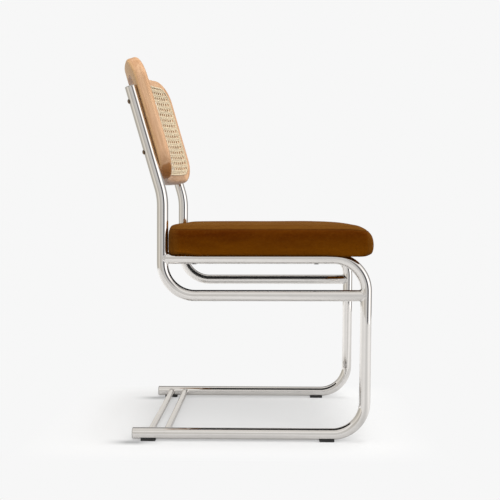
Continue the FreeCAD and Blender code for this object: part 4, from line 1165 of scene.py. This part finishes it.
class CHAIR_OT_screws(bpy.types.Operator):
    """Set the screws of the back and of the seat"""
    bl_idname = "chair.screws"
    bl_label = "Set screws"

    def execute(self, context):
        sizes, back = settings("frame"), settings("back")
        gap = 0.3 * MM
        shank = 2.5 * MM
        heights_from_kink = (104 * MM, 219 * MM)
        # The back's own axes, turned to where it leans
        kink = (lean_at(sizes, sizes.upright_x, sizes.kink_height), 0, sizes.kink_height)
        lean_back = Matrix.Translation(kink) @ Matrix.Rotation(-sizes.tilt, 4, "Y")
        contact = math.asin(HALF_TRACK / (back.bend_centre ** 2 + HALF_TRACK ** 2) ** 0.5)
        places = []
        for _name, side in SIDES:
            inward = Vector((math.cos(contact), -side * math.sin(contact), 0))
            for height in heights_from_kink:
                start = Vector((0, side * HALF_TRACK, height)) - inward * (TUBE_RADIUS + gap)
                places.append((lean_back @ start, lean_back.to_3x3() @ -inward))
        mesh = screw_mesh("back_screw", head_radius=5.25 * MM, head_height=2.6 * MM, shank_radius=shank,
                          shank_length=38.0 * MM)
        screws = place_copies("back_fixing_screws", "Back screws", mesh, places, "bronze")
        settle(screws, "bronze", "back_screws")

        low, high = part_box("seat_screws")
        head_top = sizes.seat_rail_height - TUBE_RADIUS - gap
        head = 5.5 * MM
        places = [(Vector((x, side * HALF_TRACK, head_top)), Vector((0, 0, -1)))
                  for x in (low.x + head, high.x - head) for side in (RIGHT, LEFT)]
        mesh = screw_mesh("seat_screw", head_radius=head, head_height=0.7 * MM, shank_radius=shank,
                          shank_length=high.z - head_top)
        screws = place_copies("seat_fixing_screws", "Seat screws", mesh, places, "zinc")
        settle(screws, "zinc", "seat_screws")
        return {"FINISHED"}


# Cushion
# Share of the pad's height, then how far its front, sides and rear draw in there, as shares of the height
PAD_LEVEL_SHARES = (
    (0.000, 0.280, 0.056, 0.020), (0.103, 0.047, 0.012, 0.000), (0.353, 0.001, 0.000, 0.000),
    (0.604, 0.053, 0.016, 0.000), (0.802, 0.218, 0.094, 0.002), (0.899, 0.429, 0.310, 0.012),
    (0.937, 0.626, 0.574, 0.032), (0.957, 0.830, 0.830, 0.075), (0.972, 1.075, 1.046, 0.172),
    (0.982, 1.342, 1.241, 0.322), (0.989, 1.603, 1.420, 0.490), (0.995, 1.861, 1.589, 0.675),
    (0.998, 2.119, 1.746, 0.875), (1.000, 2.378, 1.888, 1.080))


def rounded_plan(low, high, rear_corner, front_corner, arc_steps, side_steps):
    """Points round a rectangle with round corners, counter-clockwise from the front right."""
    points, arcs = [], []
    for x, y, corner, start in ((high.x, low.y, front_corner, -90), (high.x, high.y, front_corner, 0),
                                (low.x, high.y, rear_corner, 90), (low.x, low.y, rear_corner, 180)):
        centre = Vector((x - math.copysign(corner, x - (low.x + high.x) / 2),
                         y - math.copysign(corner, y - (low.y + high.y) / 2)))
        turns = [math.radians(start + 90 * n / arc_steps) for n in range(arc_steps + 1)]
        arcs.append([centre + Vector((math.cos(turn), math.sin(turn))) * corner for turn in turns])
    for place, arc in enumerate(arcs):
        points += arc
        following = arcs[(place + 1) % 4][0]
        points += [arc[-1].lerp(following, n / side_steps) for n in range(1, side_steps)]
    return points


def smooth_levels(rows, count):
    """The pad's levels with more rows between them, on a smooth curve through the given ones."""
    levels = []
    for place in range(len(rows) - 1):
        around = (rows[max(place - 1, 0)], rows[place], rows[place + 1], rows[min(place + 2, len(rows) - 1)])
        for step in range(count):
            t = step / count
            levels.append(tuple(0.5 * (2 * b + (c - a) * t + (2 * a - 5 * b + 4 * c - d) * t * t
                                       + (3 * b - a - 3 * c + d) * t ** 3) for a, b, c, d in zip(*around)))
    levels.append(rows[-1])
    return levels


def pad_shape(inset):
    """The pad's crowned form, drawn in by an inset, as points and faces."""
    pad = settings("cushion")
    height = pad.crown - pad.bottom
    levels = smooth_levels(PAD_LEVEL_SHARES, count=3)
    points = []
    for share, front, side, rear in levels:
        low = Vector((pad.rear + rear * height, -(pad.half_width - side * height - inset)))
        high = Vector((pad.front - front * height - inset, pad.half_width - side * height - inset))
        ring = rounded_plan(low, high, pad.rear_corner - inset, pad.front_corner - inset, arc_steps=10,
                            side_steps=40)
        level = pad.bottom + inset + share * (height - 2 * inset)
        points += [Vector((p.x, p.y, level)) for p in ring]
    return points, ring_faces(len(levels), len(ring))


def fill_cushion(piece, pad):
    """Fill the pad: remesh it evenly and let cloth pressure swell it within a cap."""
    context = bpy.context
    context.view_layer.objects.active = piece
    remesh = piece.modifiers.new("Remesh", "REMESH")
    remesh.mode = "VOXEL"
    remesh.voxel_size = pad.voxel
    apply_modifiers(piece)
    piece.data.name = "cushion_start"
    start = [(v.co.copy(), v.normal.copy()) for v in piece.data.vertices]
    held = piece.vertex_groups.new(name="held")
    held_to, free_from = pad.bottom + 2.5 * MM, pad.bottom + 14 * MM
    for vertex in piece.data.vertices:
        weight = 1.0 - ease(vertex.co.z, held_to, free_from)
        if weight > 0:
            held.add([vertex.index], weight, "REPLACE")
    cloth = piece.modifiers.new("Cloth", "CLOTH")
    for key, value in {"quality": 6, "mass": 0.25, "tension_stiffness": 18, "compression_stiffness": 18,
                       "shear_stiffness": 8, "bending_stiffness": 1.2, "use_pressure": True,
                       "uniform_pressure_force": pad.pressure, "vertex_group_mass": "held"}.items():
        setattr(cloth.settings, key, value)
    cloth.settings.effector_weights.gravity = 0
    last_frame = 20
    cloth.point_cache.frame_start = 1
    cloth.point_cache.frame_end = last_frame
    for number in range(1, last_frame + 1):
        context.scene.frame_set(number)
    apply_modifiers(piece)
    context.scene.frame_set(1)
    for vertex, (before, normal) in zip(piece.data.vertices, start):
        move = vertex.co - before
        out = move.dot(normal)
        sideways = move - normal * out
        if sideways.length > pad.slide:
            sideways = sideways.normalized() * pad.slide
        vertex.co = before + sideways + normal * min(max(out, -pad.sink), pad.swell)
    piece.vertex_groups.clear()


def sew_seam(piece, pad):
    """Pull the seams in: round the top panel, and down the front corners."""
    piece.data.update()
    edge = 0.5 * pad.voxel
    top_pull, corner_pull = 0.9 * MM, 0.6 * MM
    corner = pad.front - PANEL_SEAM
    for vertex in piece.data.vertices:
        place, normal = vertex.co, vertex.normal
        seam = pad.seam_side - (pad.seam_side - pad.seam_front) * ease(place.x, SEAM_DROP_START,
                                                                       pad.front - SEAM_DROP_END)
        off_top, off_corner = abs(place.z - seam), abs(place.x - corner)
        inward = Vector((normal.x, normal.y, 0)).normalized()
        if normal.z < 0.9 and off_top < edge:
            if off_top < edge / 2:
                place.z = seam
            vertex.co = place - inward * top_pull * (1 - off_top / edge)
        elif abs(normal.y) > 0.6 and off_corner < edge and place.z < seam:
            vertex.co = place - inward * corner_pull * (1 - off_corner / edge)


def tailor_cushion(piece, pad):
    """Fit the filled pad to its frame: seat line, hanging edges, corner tucks and small unevenness."""
    rail_side = HALF_TRACK + TUBE_RADIUS + 0.35 * MM
    lip_rear = pad.front - 37 * MM
    uneven, front_drop, rear_lift, tuck_depth = 0.55 * MM, 2.8 * MM, 2.6 * MM, 0.75 * MM
    # Where the tucks of the rear and front lower corners spread from, and how far
    corners = ((pad.rear + 24 * MM, pad.half_width - 24 * MM, 46 * MM),
               (pad.front - 22 * MM, pad.half_width - 22 * MM, 34 * MM))
    fold_start, fold_length, fold_width = pad.rear + 12 * MM, 78 * MM, 2.6 * MM
    ridge, groove = 2.2, 1.8
    for vertex in piece.data.vertices:
        place = vertex.co
        low = 1.0 - ease(place.z, pad.bottom + 3 * MM, pad.bottom + 26 * MM)
        # Slow unevenness of the filling under the cover
        swell = noise.noise(Vector((place.x * 9, place.y * 9, place.z * 14)))
        place.z += uneven * swell * ease(place.z, pad.crown - 40 * MM, pad.crown - 8 * MM)
        # The front edge hangs a little lower and the rear edge is pulled up
        place.z -= front_drop * low * ease(place.x, 175 * MM, 225 * MM)
        place.z += rear_lift * low * (1 - ease(place.x, -142 * MM, -98 * MM))
        for corner_x, corner_y, reach in corners:
            off = Vector((place.x - corner_x, abs(place.y) - corner_y))
            away = 1 - ease(off.length, 0.55 * reach, 1.35 * reach)
            if away > 0 and low > 0:
                tuck = math.sin(math.atan2(off.y, off.x) * 17 + 2.2 * noise.noise(place * 40))
                push = tuck_depth * low * away * tuck
                if off.length > 1e-5:
                    place.x += push * off.x / off.length
                    place.y += push * off.y / off.length * math.copysign(1, place.y)
        # A long fold runs forwards from each rear lower corner and falls towards the edge
        run = (place.x - fold_start) / fold_length
        if 0 < run < 1 and abs(place.y) > pad.half_width - 8 * MM:
            off_fold = (place.z - pad.bottom - (11 - 8 * run ** 0.6) * MM) / fold_width
            fade = (1 - run) * ease(run, 0.0, 0.12)
            push = fade * MM * (ridge * math.exp(-off_fold ** 2) - groove * math.exp(-(off_fold + 1.7) ** 2))
            place.y += math.copysign(push, place.y)
        # Room for the rails under the seat
        if place.z < pad.seat_line and abs(place.y) < rail_side and place.x < lip_rear:
            place.z = pad.seat_line + 0.15 * MM


def keep_material(piece, name):
    """Give a piece its coating again if a modifier dropped it."""
    if not piece.data.materials:
        piece.data.materials.append(coating(name))


class CHAIR_OT_cushion(bpy.types.Operator):
    """Fill and cover the seat cushion"""
    bl_idname = "chair.cushion"
    bl_label = "Make cushion"

    def execute(self, context):
        pad = settings("cushion")
        piece = mesh_piece("velvet_cushion", *pad_shape(pad.start_inset), coating("velvet"))
        fill_cushion(piece, pad)
        subdivide = piece.modifiers.new("Subdivision", "SUBSURF")
        subdivide.levels = 1
        subdivide.render_levels = 1
        apply_modifiers(piece)
        sew_seam(piece, pad)
        tailor_cushion(piece, pad)
        outward(piece.data)
        keep_material(piece, "velvet")
        piece.data.polygons.foreach_set("use_smooth", [True] * len(piece.data.polygons))
        settle(piece, "velvet", "seat_cover", "seat_foam")
        return {"FINISHED"}


# Underside of the seat
def staple_mesh():
    """A staple's crown with its two bent ends; it lies along X with its back towards +Z."""
    half, wire, drop, bend, shoulder = 5.2 * MM, 0.35 * MM, 0.9 * MM, 0.4 * MM, 0.2 * MM
    line = [Vector((-half, 0, -drop)), Vector((-half, 0, -shoulder)), Vector((-half + bend, 0, wire)),
            Vector((half - bend, 0, wire)), Vector((half, 0, -shoulder)), Vector((half, 0, -drop))]
    side = Vector((0, 1, 0))
    points = []
    for place, point in enumerate(line):
        along = (line[min(place + 1, len(line) - 1)] - line[max(place - 1, 0)]).normalized()
        up = along.cross(side).normalized()
        points += [point + side * across * wire + up * rise * wire * 0.6
                   for across, rise in ((1, 1), (-1, 1), (-1, -1), (1, -1))]
    mesh = bpy.data.meshes.new("staple")
    mesh.from_pydata([tuple(p) for p in points], [], ring_faces(len(line), 4))
    outward(mesh)
    return mesh


def lining_grid(middle, half_x, half_y, top):
    """The lining's points and faces: a sheet that sags a little and puckers along its stapled edge."""
    cells = 72
    sag_depth, pucker_depth, uneven = 1.3 * MM, 0.22 * MM, 0.5 * MM
    # Square corners are drawn in to the cut's round ones
    corner_share = 0.030
    points, faces = [], []
    for row in range(cells + 1):
        for column in range(cells + 1):
            u, v = 2 * column / cells - 1, 2 * row / cells - 1
            round_x = u * (1 - corner_share * v ** 8)
            round_y = v * (1 - corner_share * u ** 8)
            edge = 1 - max(abs(u), abs(v))
            sag = sag_depth * ease(edge, 0.0, 0.5)
            pucker = math.sin((u if abs(v) > abs(u) else v) * math.pi * 12)
            sag += pucker_depth * pucker * ease(edge, 0.0, 0.04) * (1 - ease(edge, 0.04, 0.2))
            sag += uneven * noise.noise(Vector((u * 3, v * 3, 4.0))) * ease(edge, 0.05, 0.4)
            points.append(Vector((middle.x + round_x * half_x, round_y * half_y, top - sag)))
            if row < cells and column < cells:
                here = row * (cells + 1) + column
                faces.append((here, here + cells + 1, here + cells + 2, here + 1))
    return points, faces


class CHAIR_OT_underside(bpy.types.Operator):
    """Close the seat from below: board, lining, staples and nuts"""
    bl_idname = "chair.underside"
    bl_label = "Make underside"

    def execute(self, context):
        dress("plywood", "seat_board")
        dress("zinc", "seat_tee_nuts")
        low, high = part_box("seat_dust_cover")
        middle = (low + high) / 2
        half_x, half_y = (high.x - low.x) / 2, (high.y - low.y) / 2
        cloth = mesh_piece("seat_lining", *lining_grid(middle, half_x, half_y, high.z - 0.45 * MM),
                           coating("lining"))
        thick = cloth.modifiers.new("Thickness", "SOLIDIFY")
        thick.thickness = 0.5 * MM
        thick.offset = 0
        apply_modifiers(cloth)
        outward(cloth.data)
        keep_material(cloth, "lining")
        settle(cloth, "lining", "seat_dust_cover")

        per_row, inset, end_inset = 9, 7 * MM, 26 * MM
        rows = [(side, step / (per_row - 1) - 0.5) for side in (-1, 1) for step in range(per_row)]

        def staple_places(x_off, y_off):
            """Where the staples go, from each one's place along X and Y."""
            return [(Vector((middle.x + x_off(*row), y_off(*row), high.z - 0.8 * MM)), Vector((0, 0, -1)))
                    for row in rows]

        along_sides = staple_places(lambda side, place: place * 2 * (half_x - end_inset),
                                    lambda side, place: side * (half_y - inset))
        along_ends = staple_places(lambda side, place: side * (half_x - inset),
                                   lambda side, place: place * 2 * (half_y - end_inset))
        staple = staple_mesh()
        turned = staple.copy()
        turned.transform(Matrix.Rotation(math.pi / 2, 4, "Z"))
        first = place_copies("lining_staples_sides", "Side staples", staple, along_sides, "zinc")
        second = place_copies("lining_staples_ends", "End staples", turned, along_ends, "zinc")
        settle(first, "zinc")
        settle(second, "zinc")
        return {"FINISHED"}


# Stage
def studio_world():
    """Light from all round: pale walls, a bright ceiling, a dark gap, a bright panel and a dark rear wall."""
    stage = settings("stage")
    world = bpy.data.worlds.new("studio")
    world.use_nodes = True
    bpy.context.scene.world = world
    tree = Tree(world.node_tree)
    world.node_tree.nodes.clear()
    x, y, z = tree.split(tree.node("ShaderNodeTexCoord").outputs["Generated"])
    turn = tree.math("DIVIDE", tree.math("ARCTAN2", x, tree.times(y, -1.0)), 2 * math.pi)
    # Shares of a turn: back 0, left 0.25, camera side 0.5, chair front 0.75, back 1
    walls = tree.ramp(tree.plus(turn, 0.5), (
        (0.00, (0.78, 0.76, 0.72)), (0.09, (0.72, 0.69, 0.64)), (0.14, (0.48, 0.46, 0.42)),
        (0.20, (0.46, 0.44, 0.40)), (0.26, (0.56, 0.53, 0.46)),
        (0.325, (0.80, 0.76, 0.69)), (0.36, (0.78, 0.74, 0.68)), (0.395, (0.47, 0.45, 0.42)),
        (0.45, (0.60, 0.58, 0.54)), (0.53, (0.64, 0.64, 0.64)), (0.553, (0.62, 0.62, 0.62)),
        (0.562, (0.08, 0.08, 0.09)), (0.612, (0.10, 0.10, 0.11)), (0.635, (0.30, 0.29, 0.28)),
        (0.655, (1.55, 1.52, 1.50)), (0.735, (1.55, 1.52, 1.50)), (0.77, (0.78, 0.74, 0.70)),
        (0.84, (0.26, 0.25, 0.25)), (0.90, (0.14, 0.14, 0.145)), (0.94, (0.66, 0.64, 0.62)),
        (1.00, (0.78, 0.76, 0.72))))
    up = tree.math("DIVIDE", tree.math("ARCSINE", z), math.pi / 2)
    ceiling = tree.ramp(up, ((0.10, 0.0), (0.30, 0.35), (0.48, 0.75), (0.60, 1.0)))
    room = tree.mixed(ceiling, walls, (0.74, 0.72, 0.69))
    # Dark rear wall, from a fifth to three fifths of the way up
    level = tree.math("SQRT", tree.minus(1.001, tree.times(z, z)))
    behind = tree.math("DIVIDE", y, level)
    rear = tree.times(tree.ramp(behind, ((0.55, 0.0), (0.85, 1.0))),
                      tree.ramp(up, ((0.18, 0.0), (0.27, 1.0), (0.52, 1.0), (0.62, 0.0))))
    room = tree.mixed(rear, room, (0.05, 0.05, 0.055))
    # A softbox over the camera's side shows in the chrome, and matt surfaces get an even fill
    path = tree.rays()
    softbox = tree.times(tree.ramp(tree.times(behind, -1.0), ((0.2, 0.0), (0.5, 1.0))),
                         tree.ramp(up, ((0.38, 0.0), (0.42, 1.0), (0.50, 1.0), (0.55, 0.0))))
    room = tree.mixed(tree.times(softbox, path["Is Glossy Ray"]), room, (0.95, 0.94, 0.92))
    room = tree.mixed(tree.times(path["Is Diffuse Ray"], 0.5), room, (0.66, 0.65, 0.63))
    light = tree.out("ShaderNodeBackground", {"Color": room, "Strength": stage.world_strength})
    seen = tree.out("ShaderNodeBackground", {"Color": (*settings("finish").background, 1), "Strength": 1.0})
    both = tree.out("ShaderNodeMixShader", {0: path["Is Camera Ray"], 1: light, 2: seen})
    tree.node("ShaderNodeOutputWorld", {"Surface": both})


class CHAIR_OT_stage(bpy.types.Operator):
    """Set the floor, the light and the camera"""
    bl_idname = "chair.stage"
    bl_label = "Make stage"

    def execute(self, context):
        stage = settings("stage")
        scene = context.scene
        scene.view_settings.view_transform = "Standard"
        studio_world()

        rim = 96
        turns = [2 * math.pi * n / rim for n in range(rim)]
        circle = [Vector((math.cos(turn), math.sin(turn), 0)) * stage.floor_reach for turn in turns]
        mesh_piece("studio_floor", circle, [tuple(range(rim))], coating("floor"), False)

        # Where each light comes from: degrees round from the camera's side, degrees up, softness in degrees
        for name, around, up, angle, strength in (("key_light", 24, 40, 45, stage.key_strength),
                                                  ("front_light", 90, 15, 14, stage.front_strength),
                                                  ("top_light", 90, 84, 22, stage.top_strength)):
            around, up = math.radians(around), math.radians(up)
            source = Vector((math.sin(around) * math.cos(up), -math.cos(around) * math.cos(up), math.sin(up)))
            lamp = bpy.data.lights.new(name, "SUN")
            lamp.energy = strength
            lamp.angle = math.radians(angle)
            holder = linked(name, lamp)
            holder.rotation_euler = source.to_track_quat("Z", "Y").to_euler()
            holder.visible_glossy = False

        lens = bpy.data.cameras.new("camera")
        lens.sensor_width = 36.0
        lens.lens = stage.lens
        camera = linked("camera", lens)
        ahead = Vector((-math.sin(stage.yaw), math.cos(stage.yaw), 0))
        right = Vector((math.cos(stage.yaw), math.sin(stage.yaw), 0))
        up = Vector((0, 0, 1))
        ahead, up = (ahead * math.cos(stage.pitch) - up * math.sin(stage.pitch),
                     up * math.cos(stage.pitch) + ahead * math.sin(stage.pitch))
        right, up = (right * math.cos(stage.roll) + up * math.sin(stage.roll),
                     up * math.cos(stage.roll) - right * math.sin(stage.roll))
        turn = Matrix((right, up, -ahead)).transposed().to_4x4()
        camera.matrix_world = Matrix.Translation((stage.camera_x, stage.camera_y, stage.camera_z)) @ turn
        scene.camera = camera
        return {"FINISHED"}


OPERATORS = (CHAIR_OT_stage, CHAIR_OT_tube_frame, CHAIR_OT_end_fittings, CHAIR_OT_back_frame, CHAIR_OT_cane,
             CHAIR_OT_screws, CHAIR_OT_cushion, CHAIR_OT_underside)
GROUPS = {"frame": TubeFrameSettings, "back": BackSettings, "cushion": CushionSettings,
          "finish": FinishSettings, "stage": StageSettings}


class CHAIR_PT_panel(bpy.types.Panel):
    """Lists the chair's pieces and their sizes"""
    bl_idname = "CHAIR_PT_panel"
    bl_label = "Cantilever chair"
    bl_space_type = "VIEW_3D"
    bl_region_type = "UI"
    bl_category = "Chair"

    def draw(self, context):
        for operator in OPERATORS:
            self.layout.operator(operator.bl_idname)
        for name, group in GROUPS.items():
            box = self.layout.box()
            box.label(text=name.capitalize())
            for key in group.__annotations__:
                box.prop(getattr(context.scene, "chair_" + name), key)


def register():
    for name, group in GROUPS.items():
        bpy.utils.register_class(group)
        setattr(bpy.types.Scene, "chair_" + name, PointerProperty(type=group))
    for item in (*OPERATORS, CHAIR_PT_panel):
        bpy.utils.register_class(item)


def unregister():
    for item in (CHAIR_PT_panel, *reversed(OPERATORS)):
        bpy.utils.unregister_class(item)
    for name, group in GROUPS.items():
        delattr(bpy.types.Scene, "chair_" + name)
        bpy.utils.unregister_class(group)


def main():
    """Register the add-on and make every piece."""
    register()
    for operator in OPERATORS:
        namespace, name = operator.bl_idname.split(".")
        getattr(getattr(bpy.ops, namespace), name)()
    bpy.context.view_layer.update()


if __name__ == "__main__":
    main()
